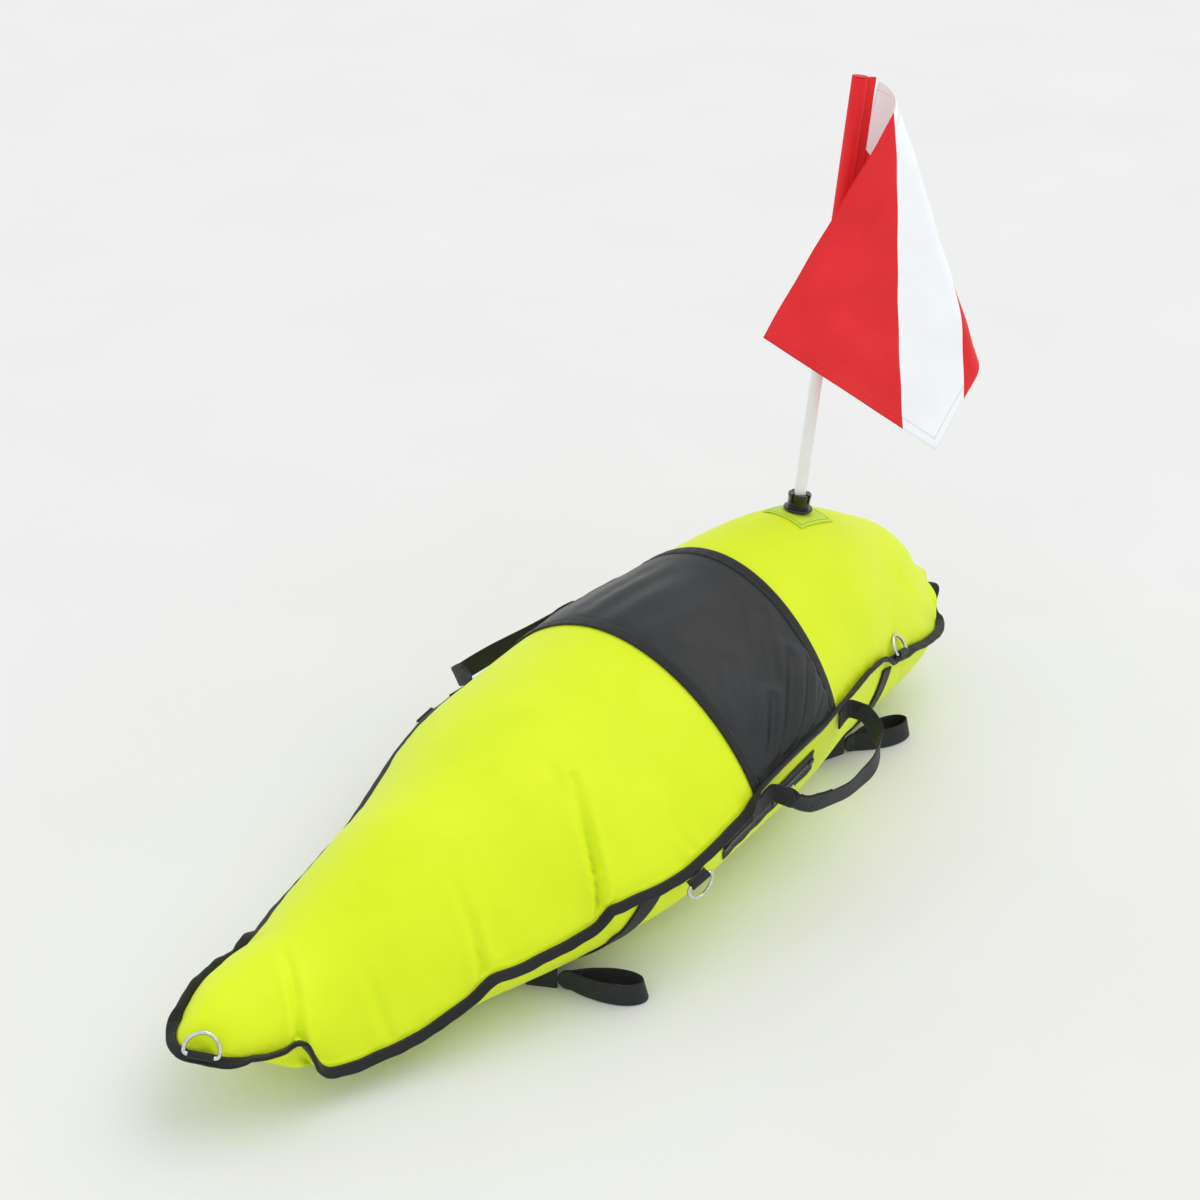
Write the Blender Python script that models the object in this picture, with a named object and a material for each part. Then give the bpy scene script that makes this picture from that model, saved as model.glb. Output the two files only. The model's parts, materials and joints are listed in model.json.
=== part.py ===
"""Freediving buoy: a two-panel inflatable float with saddle, handles, rings, zip, socket and flag.

Metres, +Z up. X runs from the nose (-X) to the tail (+X), and -Y is the side with the zip.
The origin is the middle of the flat belly, on the ground.
"""
import math
from collections import namedtuple

import bmesh
import bpy
from mathutils import Matrix, Vector

# Clearances
GAP = 0.0003
CLOTH_GAP = 0.0009
RUNNING_GAP = 0.0004

# Float body, measured at the seam where the two panels meet
BODY_LENGTH = 1.136
BODY_STATIONS = (-1.0, -0.75, -0.45, -0.1, 0.25, 0.55, 0.8, 1.0)
HALF_WIDTHS = (0.052, 0.095, 0.141, 0.193, 0.178, 0.135, 0.106, 0.102)
SEAM_HEIGHTS = (0.093, 0.052, 0.076, 0.127, 0.158, 0.150, 0.108, 0.078)
CREST_RISES = (0.050, 0.078, 0.117, 0.109, 0.120, 0.155, 0.142, 0.121)
BELLY_HEIGHTS = (0.080, 0.020, 0.0, 0.0, 0.0, 0.0, 0.004, 0.040)
BELLY_PRESS = 0.004
NOSE_ROUNDNESS = 8.0
TAIL_BLUNTNESS = 12.0
TOP_FULLNESSES = (1.66, 1.66, 1.66, 1.66, 1.52, 1.43, 1.43, 1.58)
BELLY_FULLNESS = 0.80
STATION_COUNT = 38
TOP_COLUMNS = 12
BELLY_COLUMNS = 14

# Panel cloth, seam flange and binding tape
CLOTH = 0.0008
SEAM_GAP = 0.0003
FLANGE_WIDTH = 0.0125
FLANGE_DROOP = math.radians(35)
BINDING_TAPE = 0.0010

# Air bladder and its valve
BLADDER_INSET = 0.0050
BLADDER_STATIONS = 24
BLADDER_WALL = 0.0008
BLADDER_FLOOR_GAP = 0.0007
VALVE_X = 0.105
VALVE_DROP = 0.036
VALVE_POCKET_RADIUS = 0.024
VALVE_POCKET_DEPTH = 0.034
VALVE_DISC_RADIUS = 0.019
VALVE_DISC_THICKNESS = 0.0020
VALVE_TUBE_RADIUS = 0.0100
VALVE_TUBE_LENGTH = 0.0150
VALVE_BORE_RADIUS = 0.0072
PLUG_DEPTH = 0.0090
PLUG_HEAD_RADIUS = 0.0115
PLUG_HEAD_THICKNESS = 0.0030

# Saddle sheet across the top
SADDLE_FRONT_X = 0.040
SADDLE_REAR_X = 0.211
SADDLE_CLOTH = 0.0008
SADDLE_EDGE_DROP = 0.0026
HEM_WIDTH = 0.0130
HEM_THICKNESS = 0.0018
SADDLE_COLUMNS = 18

# Webbing
WEBBING_WIDTH = 0.025
WEBBING_THICKNESS = 0.0016

# Side handles
RIGHT_HANDLE_X = 0.068
LEFT_HANDLE_X = 0.000
HANDLE_SPAN = 0.168
HANDLE_REACH = 0.050
HANDLE_DROOP = math.radians(38)
RIGHT_HANDLE_SKEW = 0.28
LEFT_HANDLE_SKEW = -0.48
HANDLE_STUB = 0.0040

# Side straps and the ground loops that hang from them
STRAP_TOP_DROP = 0.0150
STRAP_FOOT_HEIGHT = 0.0080
FRONT_STRAP_TOP_X = -0.115
FRONT_STRAP_FOOT_X = -0.190
REAR_STRAP_TOP_X = 0.365
REAR_STRAP_FOOT_X = 0.295
FRONT_LOOP_X = -0.222
REAR_LOOP_X = 0.268
FRONT_LOOP_YAW = math.radians(34)
REAR_LOOP_YAW = math.radians(72)
LOOP_LENGTH = 0.080
LOOP_WIDTH = 0.034
LOOP_STUB = 0.0060
LOOP_GROUND_GAP = 0.0005
LOOP_STUB_LOW = 0.0110
LOOP_TAPER = 0.8
LOOP_SEARCH = 0.15

# Rings and their tabs
RING_INNER_WIDTH = 0.030
RING_ARM = 0.005
RING_WIRE = 0.0040
TAB_LEG = 0.0045
TAB_FOLD_GAP = 0.0004
TAB_PRESS = 0.0001
RAISED_TAB_OFFSET = 0.0065
FRONT_RING_X = -0.070
REAR_RING_X = 0.385
NOSE_RING_STATION = 0.985
RING_REST_GAP = 0.0020
RING_LEAN_LIMIT = math.radians(170)

# Zip
ZIP_FRONT_X = 0.000
ZIP_REAR_X = 0.150
ZIP_DROP = 0.0310
ZIP_PRESS = 0.0004
ZIP_TAPE_WIDTH = 0.0120
ZIP_TAPE_THICKNESS = 0.0008
ZIP_CHAIN_WIDTH = 0.0060
ZIP_TOOTH_PITCH = 0.0060
ZIP_TOOTH_THICKNESS = 0.0020
ZIP_SPINE = 0.0014
ZIP_END_LENGTH = 0.0100
ZIP_END_THICKNESS = 0.0030
SLIT_CUT_DEPTH = 0.0120
SLIDER_POSITION = 0.087
SLIDER_LENGTH = 0.0150
SLIDER_PLATE = 0.0016
SLIDER_LIP = 0.0016
CHEEK_THICKNESS = 0.0014
CHEEK_HEIGHT = 0.0046
PIN_RADIUS = 0.0008
PULL_LENGTH = 0.0240
PULL_WIDTH = 0.0060
PULL_THICKNESS = 0.0014

# Flag pole, socket and patch
POLE_X = 0.336
POLE_LEAN = math.radians(9)
POLE_SIDE_LEAN = math.radians(1.3)
POLE_RADIUS = 0.0070
POLE_WALL = 0.0014
POLE_HEIGHT = 0.493
SOCKET_DEPTH = 0.052
SOCKET_WALL = 0.0052
SOCKET_FLOOR = 0.0030
SOCKET_FLANGE_RADIUS = 0.0165
SOCKET_FLANGE_HEIGHT = 0.0040
SOCKET_TUBE_HEIGHT = 0.0160
SOCKET_SLOT_WIDTH = 0.0035
SOCKET_SLOT_DEPTH = 0.0100
PATCH_SIZE = 0.058
PATCH_THICKNESS = 0.0008
WASHER_RADIUS = 0.0210
WASHER_THICKNESS = 0.0020
NUT_RADIUS = 0.0190
NUT_HEIGHT = 0.0080
TIP_CAP_HEIGHT = 0.0060
TIP_CAP_PLUG = 0.0120
FOOT_PLUG_HEIGHT = 0.0040
FACET_ALLOWANCE = 0.0026
POCKET_CLEARANCE = 0.0060

# Flag, folded once along a slanting line
FLAG_HOIST = 0.300
FLAG_FLY = 0.339
FLAG_CLOTH = 0.0009
FLAG_YAW = math.radians(-20.5)
FOLD_SLANT = math.radians(29.8)
FOLD_START = -0.007
FOLD_RADIUS = 0.023
FOLD_ANGLE = math.radians(175)
FOLD_STRIPS = 10
SLEEVE_CLOTH = 0.0009
SLEEVE_EASE = 0.0008
SLEEVE_TAIL = 0.0120

YELLOW = ("yellow_cloth", (0.62, 0.90, 0.02, 1), 0.55, 0.0)
BLACK_CLOTH = ("black_cloth", (0.045, 0.050, 0.058, 1), 0.60, 0.0)
BLACK_WEBBING = ("black_webbing", (0.025, 0.027, 0.032, 1), 0.70, 0.0)
BLACK_PLASTIC = ("black_plastic", (0.012, 0.014, 0.014, 1), 0.30, 0.0)
STEEL = ("steel", (0.75, 0.75, 0.76, 1), 0.22, 1.0)
WHITE_PLASTIC = ("white_plastic", (0.85, 0.87, 0.86, 1), 0.35, 0.0)
CLEAR_VINYL = ("clear_vinyl", (0.70, 0.76, 0.80, 1), 0.30, 0.0)
RED_CLOTH = ("red_cloth", (0.72, 0.03, 0.04, 1), 0.60, 0.0)
PATCH_YELLOW = ("patch_cloth", (0.50, 0.82, 0.05, 1), 0.60, 0.0)

HALF_LENGTH = BODY_LENGTH / 2
WIDEST = max(HALF_WIDTHS)
TALLEST_RISE = max(CREST_RISES)
DEEPEST = max(SEAM_HEIGHTS) + BELLY_PRESS
BINDING_REACH = FLANGE_WIDTH + GAP + BINDING_TAPE
BINDING_HALF_THICKNESS = SEAM_GAP / 2 + CLOTH + GAP + BINDING_TAPE
BINDING_START = (BINDING_HALF_THICKNESS * math.sin(FLANGE_DROOP) + 2 * GAP) / math.cos(FLANGE_DROOP)
SOCKET_BORE = POLE_RADIUS + RUNNING_GAP
SOCKET_RADIUS = SOCKET_BORE + SOCKET_WALL
SKIN_LIFT = SEAM_GAP / 2 + CLOTH
RIGHT, LEFT = -1, 1
SIDE_WORDS = {RIGHT: "right", LEFT: "left"}
HANDLE_PLACES = {RIGHT: (RIGHT_HANDLE_X, RIGHT_HANDLE_SKEW), LEFT: (LEFT_HANDLE_X, LEFT_HANDLE_SKEW)}

# How finely curves are drawn and searched
SECTION_SAMPLES = 45
END_MARGIN = 0.0001
HALVINGS = 14
ZIP_SAMPLES = 24
SEAT_SAMPLES = 12
HANDLE_STEPS = 20
LOOP_STEPS = 10
LOOP_STUB_STEPS = 4
RING_STEPS = 8
TAB_STEPS = 10
STRAP_ROWS = 14
WIRE_SIDES = 8
PIN_SIDES = 10
ROUND_END_TURNS = tuple(math.radians(t) for t in (75, 50, 25))


def clear_scene():
    for item in list(bpy.data.objects):
        bpy.data.objects.remove(item, do_unlink=True)


# Shape of the float

def smooth_curve(values):
    """Monotone cubic through the values at BODY_STATIONS."""
    stations = BODY_STATIONS
    steps = [b - a for a, b in zip(stations, stations[1:])]
    rates = [(b - a) / h for a, b, h in zip(values, values[1:], steps)]
    slopes = [rates[0]]
    for before, after in zip(rates, rates[1:]):
        slopes.append(0.0 if before * after <= 0 else 2 * before * after / (before + after))
    slopes.append(rates[-1])

    def curve(s):
        k = 0
        while k < len(steps) - 1 and s > stations[k + 1]:
            k += 1
        u = (s - stations[k]) / steps[k]
        start = values[k] + steps[k] * slopes[k] * u * (1 - u) ** 2
        rise = (values[k + 1] - values[k]) * u * u * (3 - 2 * u)
        return start + rise - steps[k] * slopes[k + 1] * u * u * (1 - u)
    return curve


half_width_at = smooth_curve(HALF_WIDTHS)
seam_height_at = smooth_curve(SEAM_HEIGHTS)
rise_at = smooth_curve(CREST_RISES)
top_fullness_at = smooth_curve(TOP_FULLNESSES)
belly_height_at = smooth_curve(BELLY_HEIGHTS)


def end_round(s):
    """Share of the full section that is left near the nose and the tail."""
    power = NOSE_ROUNDNESS if s < 0 else TAIL_BLUNTNESS
    return math.sqrt(max(0.0, 1 - abs(s) ** power))


def depth_at(s):
    return (seam_height_at(s) - belly_height_at(s) + BELLY_PRESS) * end_round(s)


def hull_point(s, angle, top=True, inset=0.0, lift=0.0, floor=None):
    """Point of the float's surface: angle is 0 on the centre line and +-90 degrees at the seam."""
    x = s * (HALF_LENGTH - inset)
    y = half_width_at(s) * end_round(s) * (1 - inset / WIDEST) * math.sin(angle)
    bulge = max(0.0, math.cos(angle))
    if top:
        z = seam_height_at(s) + rise_at(s) * end_round(s) * (1 - inset / TALLEST_RISE) * bulge ** top_fullness_at(s)
        return Vector((x, y, z + lift))
    z = seam_height_at(s) - depth_at(s) * (1 - inset / DEEPEST) * bulge ** BELLY_FULLNESS
    return Vector((x, y, max(z + lift, inset if floor is None else floor)))


def hull_normal(s, angle, top=True):
    step = 0.004
    along = hull_point(s + step, angle, top) - hull_point(s - step, angle, top)
    across = hull_point(s, angle + step, top) - hull_point(s, angle - step, top)
    normal = along.cross(across).normalized()
    centre = Vector((s * HALF_LENGTH, 0, seam_height_at(s)))
    if normal.dot(hull_point(s, angle, top) - centre) < 0:
        normal = -normal
    return normal


def angle_for_drop(s, drop):
    """Angle on the lower panel where the surface lies this far below the seam."""
    share = min(1.0, drop / depth_at(s))
    return math.acos(share ** (1 / BELLY_FULLNESS))


def station_of(x):
    return x / HALF_LENGTH


SeamFrame = namedtuple("SeamFrame", "origin tangent outward up along across")


def seam_frame(s, side):
    """Seam point, its directions, and the two directions of the flange that droops from it."""
    def rim(t):
        return hull_point(t, side * math.pi / 2)
    step = min(0.002, (1 - abs(s)) / 2)
    if step:
        tangent = (rim(s + step) - rim(s - step)).normalized()
        outward = Vector((-side * tangent.y, side * tangent.x, 0)).normalized()
    else:
        tangent = Vector((0, 1, 0))
        outward = Vector((math.copysign(1, s), 0, 0))
    up = outward.cross(tangent)
    up *= math.copysign(1, up.z)
    along = outward * math.cos(FLANGE_DROOP) - up * math.sin(FLANGE_DROOP)
    across = up * math.cos(FLANGE_DROOP) + outward * math.sin(FLANGE_DROOP)
    return SeamFrame(rim(s), tangent, outward, up, along, across)


def station_list(count):
    """Stations crowded toward the nose and the tail, where the outline turns."""
    return [-math.cos(math.pi * i / count) for i in range(count + 1)]


def seam_loop(count):
    """Seam frames round the outline: nose, right side, tail, left side."""
    stations = station_list(count)
    frames = [seam_frame(-1.0, RIGHT)]
    frames += [seam_frame(s, RIGHT) for s in stations[1:-1]]
    frames.append(seam_frame(1.0, RIGHT))
    frames += [seam_frame(s, LEFT) for s in reversed(stations[1:-1])]
    return frames


# Mesh helpers

def material(look):
    """Principled material of a finish, made once."""
    name, colour, roughness, metallic = look
    found = bpy.data.materials.get(name)
    if found:
        return found
    made = bpy.data.materials.new(name)
    made.use_nodes = True
    shader = made.node_tree.nodes["Principled BSDF"]
    shader.inputs["Base Color"].default_value = colour
    shader.inputs["Roughness"].default_value = roughness
    shader.inputs["Metallic"].default_value = metallic
    made.diffuse_color = colour
    return made


def add_mesh(name, verts, faces, look, frame=None, smooth=True):
    """Object from vertices and faces, its faces turned outward, placed by a matrix."""
    mesh = bpy.data.meshes.new(name)
    mesh.from_pydata([tuple(v) for v in verts], [], faces)
    work = bmesh.new()
    work.from_mesh(mesh)
    bmesh.ops.recalc_face_normals(work, faces=work.faces)
    if work.calc_volume(signed=True) < 0:
        bmesh.ops.reverse_faces(work, faces=work.faces)
    work.to_mesh(mesh)
    work.free()
    if smooth:
        mesh.shade_smooth()
        mesh.set_sharp_from_angle(angle=math.radians(35))
    item = bpy.data.objects.new(name, mesh)
    mesh.materials.append(material(look))
    bpy.context.scene.collection.objects.link(item)
    if frame is not None:
        item.matrix_world = frame
    return item


def frame_from(origin, x_axis, y_axis):
    """Right-handed frame whose X is kept and whose Y is squared to it."""
    x_axis = x_axis.normalized()
    z_axis = x_axis.cross(y_axis).normalized()
    y_axis = z_axis.cross(x_axis)
    matrix = Matrix((x_axis, y_axis, z_axis)).transposed().to_4x4()
    matrix.translation = origin
    return matrix


def prism(name, outline, low, high, look, frame=None, smooth=True):
    """Outline in XY, drawn from z = low to z = high."""
    count = len(outline)
    verts = [(x, y, low) for x, y in outline] + [(x, y, high) for x, y in outline]
    faces = [tuple(reversed(range(count))), tuple(range(count, 2 * count))]
    faces += [(i, (i + 1) % count, count + (i + 1) % count, count + i) for i in range(count)]
    return add_mesh(name, verts, faces, look, frame, smooth)


def box(name, x_range, y_range, z_range, look, frame=None):
    (x0, x1), (y0, y1) = x_range, y_range
    outline = ((x0, y0), (x1, y0), (x1, y1), (x0, y1))
    return prism(name, outline, z_range[0], z_range[1], look, frame, smooth=False)


def circle_points(radius, sides, turn=0.0):
    steps = [turn + 2 * math.pi * i / sides for i in range(sides)]
    return [(radius * math.cos(t), radius * math.sin(t)) for t in steps]


def turned(name, profile, look, frame=None, sides=24):
    """Closed profile of (radius, height) points turned round Z; points on the axis are shared."""
    verts, rings = [], []
    for radius, height in profile:
        if radius == 0:
            rings.append([len(verts)] * sides)
            verts.append((0, 0, height))
        else:
            rings.append([len(verts) + i for i in range(sides)])
            verts += [(x, y, height) for x, y in circle_points(radius, sides)]
    faces = []
    for lower, upper in zip(rings, rings[1:] + rings[:1]):
        for i in range(sides):
            j = (i + 1) % sides
            corners = list(dict.fromkeys((lower[i], lower[j], upper[j], upper[i])))
            if len(corners) > 2:
                faces.append(corners)
    return add_mesh(name, verts, faces, look, frame)


def ribbon(name, path, thickness, half_widths, look, frame=None):
    """Webbing laid on edge: a path in XY with its thickness, and its width along Z."""
    points = [Vector(p).to_3d() for p in path]
    sides = []
    for i, point in enumerate(points):
        before = points[max(i - 1, 0)]
        after = points[min(i + 1, len(points) - 1)]
        first = (point - before).normalized() if point != before else (after - point).normalized()
        second = (after - point).normalized() if after != point else first
        bisector = (first + second).normalized()
        normal = Vector((-bisector.y, bisector.x, 0))
        stretch = 1 / max(0.5, normal.dot(Vector((-first.y, first.x, 0))))
        sides.append(normal * stretch * thickness / 2)
    verts = []
    for point, side, half in zip(points, sides, half_widths):
        width = Vector((0, 0, half))
        verts += [point + side - width, point + side + width, point - side + width, point - side - width]
    faces = [(3, 2, 1, 0)]
    for i in range(len(points) - 1):
        start = 4 * i
        faces += [(start + k, start + (k + 1) % 4, start + 4 + (k + 1) % 4, start + 4 + k) for k in range(4)]
    last = 4 * (len(points) - 1)
    faces.append((last, last + 1, last + 2, last + 3))
    return add_mesh(name, verts, faces, look, frame)


def skin_patch(name, place, rows, columns, low, high, look):
    """Thin solid on a surface: place(u, v) gives a point and its outward normal."""
    grid = [[place(i / rows, j / columns) for j in range(columns + 1)] for i in range(rows + 1)]
    verts = []
    for height in (low, high):
        verts += [point + normal * height for row in grid for point, normal in row]
    wide = columns + 1
    layer = (rows + 1) * wide
    faces = []
    for i in range(rows):
        for j in range(columns):
            corner = i * wide + j
            quad = (corner, corner + 1, corner + wide + 1, corner + wide)
            faces.append(quad)
            faces.append(tuple(layer + k for k in reversed(quad)))
    rim = [j for j in range(wide)] + [i * wide + columns for i in range(1, rows + 1)]
    rim += [rows * wide + j for j in reversed(range(columns))] + [i * wide for i in reversed(range(1, rows))]
    faces += [(a, b, b + layer, a + layer) for a, b in zip(rim, rim[1:] + rim[:1])]
    return add_mesh(name, verts, faces, look)


def combine(target, tools, operation):
    """Boolean the tools into the target one after another and remove them."""
    for tool in tools:
        step = target.modifiers.new("shape", "BOOLEAN")
        step.operation = operation
        step.object = tool
        step.solver = "EXACT"
        result = bpy.data.meshes.new_from_object(target.evaluated_get(fresh_depsgraph()))
        target.modifiers.clear()
        target.data = result
        bpy.data.objects.remove(tool, do_unlink=True)
    return target


def fresh_depsgraph():
    bpy.context.view_layer.update()
    return bpy.context.evaluated_depsgraph_get()


# Panels, binding and bladder

def lens_layer(stations, columns, top, inset, lift, floor=None):
    """Points of one panel layer: nose tip, inner stations by columns, tail tip."""
    angles = [math.pi * (j / columns - 0.5) for j in range(columns + 1)]
    points = [hull_point(-1.0, 0, top, inset, lift, floor)]
    for s in stations[1:-1]:
        points += [hull_point(s, a, top, inset, lift, floor) for a in angles]
    points.append(hull_point(1.0, 0, top, inset, lift, floor))
    return points


def lens_faces(stations, columns, start):
    wide = columns + 1
    rows = len(stations) - 2
    tail = start + 1 + rows * wide
    faces = [(start, start + 1 + j, start + 2 + j) for j in range(columns)]
    for i in range(rows - 1):
        base = start + 1 + i * wide
        faces += [(base + j, base + wide + j, base + wide + j + 1, base + j + 1) for j in range(columns)]
    last = start + 1 + (rows - 1) * wide
    faces += [(last + j, tail, last + j + 1) for j in range(columns)]
    return faces


def lens_rim(stations, columns, start):
    """Rim vertex numbers in the order of seam_loop."""
    wide = columns + 1
    rows = len(stations) - 2
    right = [start + 1 + i * wide for i in range(rows)]
    left = [start + 1 + i * wide + columns for i in reversed(range(rows))]
    return [start] + right + [start + 1 + rows * wide] + left


def make_panel(name, top, columns, cutters=()):
    """One cloth shell with its seam flange."""
    stations = station_list(STATION_COUNT)
    frames = seam_loop(STATION_COUNT)
    facing = 1 if top else -1
    near, far = SEAM_GAP / 2, SEAM_GAP / 2 + CLOTH
    outer = lens_layer(stations, columns, top, 0.0, facing * far)
    inner = lens_layer(stations, columns, top, CLOTH, facing * near)
    verts = outer + inner
    start = len(outer)
    faces = lens_faces(stations, columns, 0) + lens_faces(stations, columns, start)
    rim_outer = lens_rim(stations, columns, 0)
    rim_inner = lens_rim(stations, columns, start)
    edge_outer = range(len(verts), len(verts) + len(frames))
    verts += [f.origin + f.along * FLANGE_WIDTH + f.across * facing * far for f in frames]
    edge_inner = range(len(verts), len(verts) + len(frames))
    verts += [f.origin + f.along * FLANGE_WIDTH + f.across * facing * near for f in frames]
    for first, second in ((rim_outer, edge_outer), (edge_outer, edge_inner), (edge_inner, rim_inner)):
        count = len(frames)
        for i in range(count):
            j = (i + 1) % count
            faces.append((first[i], first[j], second[j], second[i]))
    panel = add_mesh(name, verts, faces, YELLOW)
    return combine(panel, cutters, "DIFFERENCE")


def make_binding():
    """Tape folded over both flanges, a closed ring round the float."""
    frames = seam_loop(STATION_COUNT)
    slot = BINDING_HALF_THICKNESS - BINDING_TAPE
    floor = FLANGE_WIDTH + GAP
    section = ((BINDING_START, BINDING_HALF_THICKNESS), (BINDING_REACH, BINDING_HALF_THICKNESS),
               (BINDING_REACH, -BINDING_HALF_THICKNESS), (BINDING_START, -BINDING_HALF_THICKNESS),
               (BINDING_START, -slot), (floor, -slot), (floor, slot), (BINDING_START, slot))
    verts = []
    for f in frames:
        verts += [f.origin + f.along * reach + f.across * rise for reach, rise in section]
    count, size = len(frames), len(section)
    faces = []
    for i in range(count):
        j = (i + 1) % count
        for k in range(size):
            m = (k + 1) % size
            faces.append((size * i + k, size * i + m, size * j + m, size * j + k))
    return add_mesh("edge_binding", verts, faces, BLACK_WEBBING)


def lens_solid(name, inset, floor):
    """Closed cushion inside the panels: its upper and lower faces share one rim."""
    stations = station_list(BLADDER_STATIONS)
    upper = lens_layer(stations, TOP_COLUMNS, True, inset, 0.0)
    lower = lens_layer(stations, TOP_COLUMNS, False, inset, 0.0, floor)
    verts = list(upper)
    number = {k: k for k in lens_rim(stations, TOP_COLUMNS, 0)}
    for k, point in enumerate(lower):
        if k not in number:
            number[k] = len(verts)
            verts.append(point)
    faces = lens_faces(stations, TOP_COLUMNS, 0)
    faces += [tuple(number[k] for k in face) for face in lens_faces(stations, TOP_COLUMNS, 0)]
    triangles = [(face[0], face[k], face[k + 1]) for face in faces for k in range(1, len(face) - 1)]
    return add_mesh(name, verts, triangles, CLEAR_VINYL)


def pocket(name, frame, radius, depth):
    """Cylinder that dents the bladder from outside, straight down a frame's Z."""
    return prism(name, circle_points(radius, 24), -depth, DEEPEST / 2, CLEAR_VINYL, frame)


def make_bladder(pole, valve):
    """Air bladder: a thin skin, dented round the flag socket and the valve, open at the valve."""
    floor = CLOTH + BLADDER_FLOOR_GAP
    outside = lens_solid("air_bladder", BLADDER_INSET, floor)
    inside = lens_solid("air", BLADDER_INSET + BLADDER_WALL, floor + BLADDER_WALL)
    dents = ((pole, WASHER_RADIUS + POCKET_CLEARANCE, SOCKET_DEPTH + SOCKET_FLOOR + POCKET_CLEARANCE),
             (valve, VALVE_POCKET_RADIUS, BLADDER_INSET + VALVE_POCKET_DEPTH))
    for frame, radius, depth in dents:
        combine(outside, [pocket("dent", frame, radius, depth)], "DIFFERENCE")
        combine(inside, [pocket("dent", frame, radius + BLADDER_WALL, depth + BLADDER_WALL)], "DIFFERENCE")
    mouth = pocket("mouth", valve, VALVE_BORE_RADIUS, BLADDER_INSET + VALVE_POCKET_DEPTH + 4 * BLADDER_WALL)
    combine(outside, [inside, mouth], "DIFFERENCE")


# Places on the skin of the float

def skin(s, angle, top=True):
    """Outer face of the cloth and its outward normal."""
    return hull_point(s, angle, top, lift=SKIN_LIFT if top else -SKIN_LIFT), hull_normal(s, angle, top)


def angle_for_rise(s, rise):
    """Angle on the upper panel where the surface lies this far above the seam."""
    share = min(1.0, rise / (rise_at(s) * end_round(s)))
    return math.acos(share ** (1 / top_fullness_at(s)))


def blend(a, b, share):
    return a + (b - a) * share


def wall_half_width(s, height):
    """Half width of the lower panel at this height."""
    drop = seam_height_at(s) - height
    if drop >= depth_at(s):
        return 0.0
    return half_width_at(s) * end_round(s) * math.sin(angle_for_drop(s, max(0.0, drop)))


def section_distance(point, top):
    """Distance in the cross section from a point to the skin, negative inside."""
    s = max(END_MARGIN - 1, min(1 - END_MARGIN, station_of(point.x)))
    samples = [skin_section(s, math.pi / 2 * k / SECTION_SAMPLES, top) for k in range(SECTION_SAMPLES + 1)]
    y, z = abs(point.y), point.z
    nearest = min(math.hypot(y - a, z - b) for a, b in samples)
    if top:
        width = half_width_at(s) * end_round(s)
        share = min(1.0, y / width)
        surface = seam_height_at(s) + rise_at(s) * end_round(s) * (1 - share ** 2) ** (top_fullness_at(s) / 2)
        inside = y < width and z < surface
    else:
        inside = y < wall_half_width(s, z)
    return -nearest if inside else nearest


def skin_section(s, angle, top):
    point = hull_point(s, angle, top, lift=SKIN_LIFT if top else -SKIN_LIFT)
    return point.y, point.z


def first_clear(is_clear, low, high):
    """Value nearest to low, on the way to high, at which is_clear holds, by halving."""
    for _ in range(HALVINGS):
        middle = (low + high) / 2
        if is_clear(middle):
            high = middle
        else:
            low = middle
    return high


def seat_lift(frame, half_x, half_y, samples):
    """Height above a frame's XY plane of the highest sample inside a rectangle round its origin."""
    inverse = frame.inverted()
    heights = [0.0]
    for point in samples:
        local = inverse @ point
        if abs(local.x) <= half_x and abs(local.y) <= half_y:
            heights.append(local.z)
    return max(heights)


def raised(frame, height):
    return frame @ Matrix.Translation((0, 0, height))


# Saddle

def make_saddle():
    hem = HEM_WIDTH / HALF_LENGTH
    gap = GAP / HALF_LENGTH
    front, rear = station_of(SADDLE_FRONT_X), station_of(SADDLE_REAR_X)

    def edge(s):
        return angle_for_rise(s, SADDLE_EDGE_DROP)

    def hem_top(s, extra=0.0):
        return angle_for_rise(s, SADDLE_EDGE_DROP + HEM_WIDTH + extra)

    def sheet(u, v):
        s = blend(front + hem + gap, rear - hem - gap, u)
        return skin(s, hem_top(s, 2 * GAP) * (2 * v - 1))

    def cross_hem(start):
        def place(u, v):
            s = start + hem * u
            return skin(s, edge(s) * (2 * v - 1))
        return place

    def side_hem(side):
        def place(u, v):
            s = blend(front + hem + gap, rear - hem - gap, u)
            return skin(s, side * blend(hem_top(s), edge(s), v))
        return place

    base = CLOTH_GAP
    skin_patch("saddle_sheet", sheet, 5, SADDLE_COLUMNS, base, base + SADDLE_CLOTH, BLACK_CLOTH)
    for name, start in (("saddle_front_hem", front), ("saddle_rear_hem", rear - hem)):
        skin_patch(name, cross_hem(start), 1, SADDLE_COLUMNS, base, base + HEM_THICKNESS, BLACK_WEBBING)
    for name, side in (("saddle_right_hem", RIGHT), ("saddle_left_hem", LEFT)):
        skin_patch(name, side_hem(side), 5, 2, base, base + HEM_THICKNESS, BLACK_WEBBING)


# Webbing handles and loops

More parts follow.
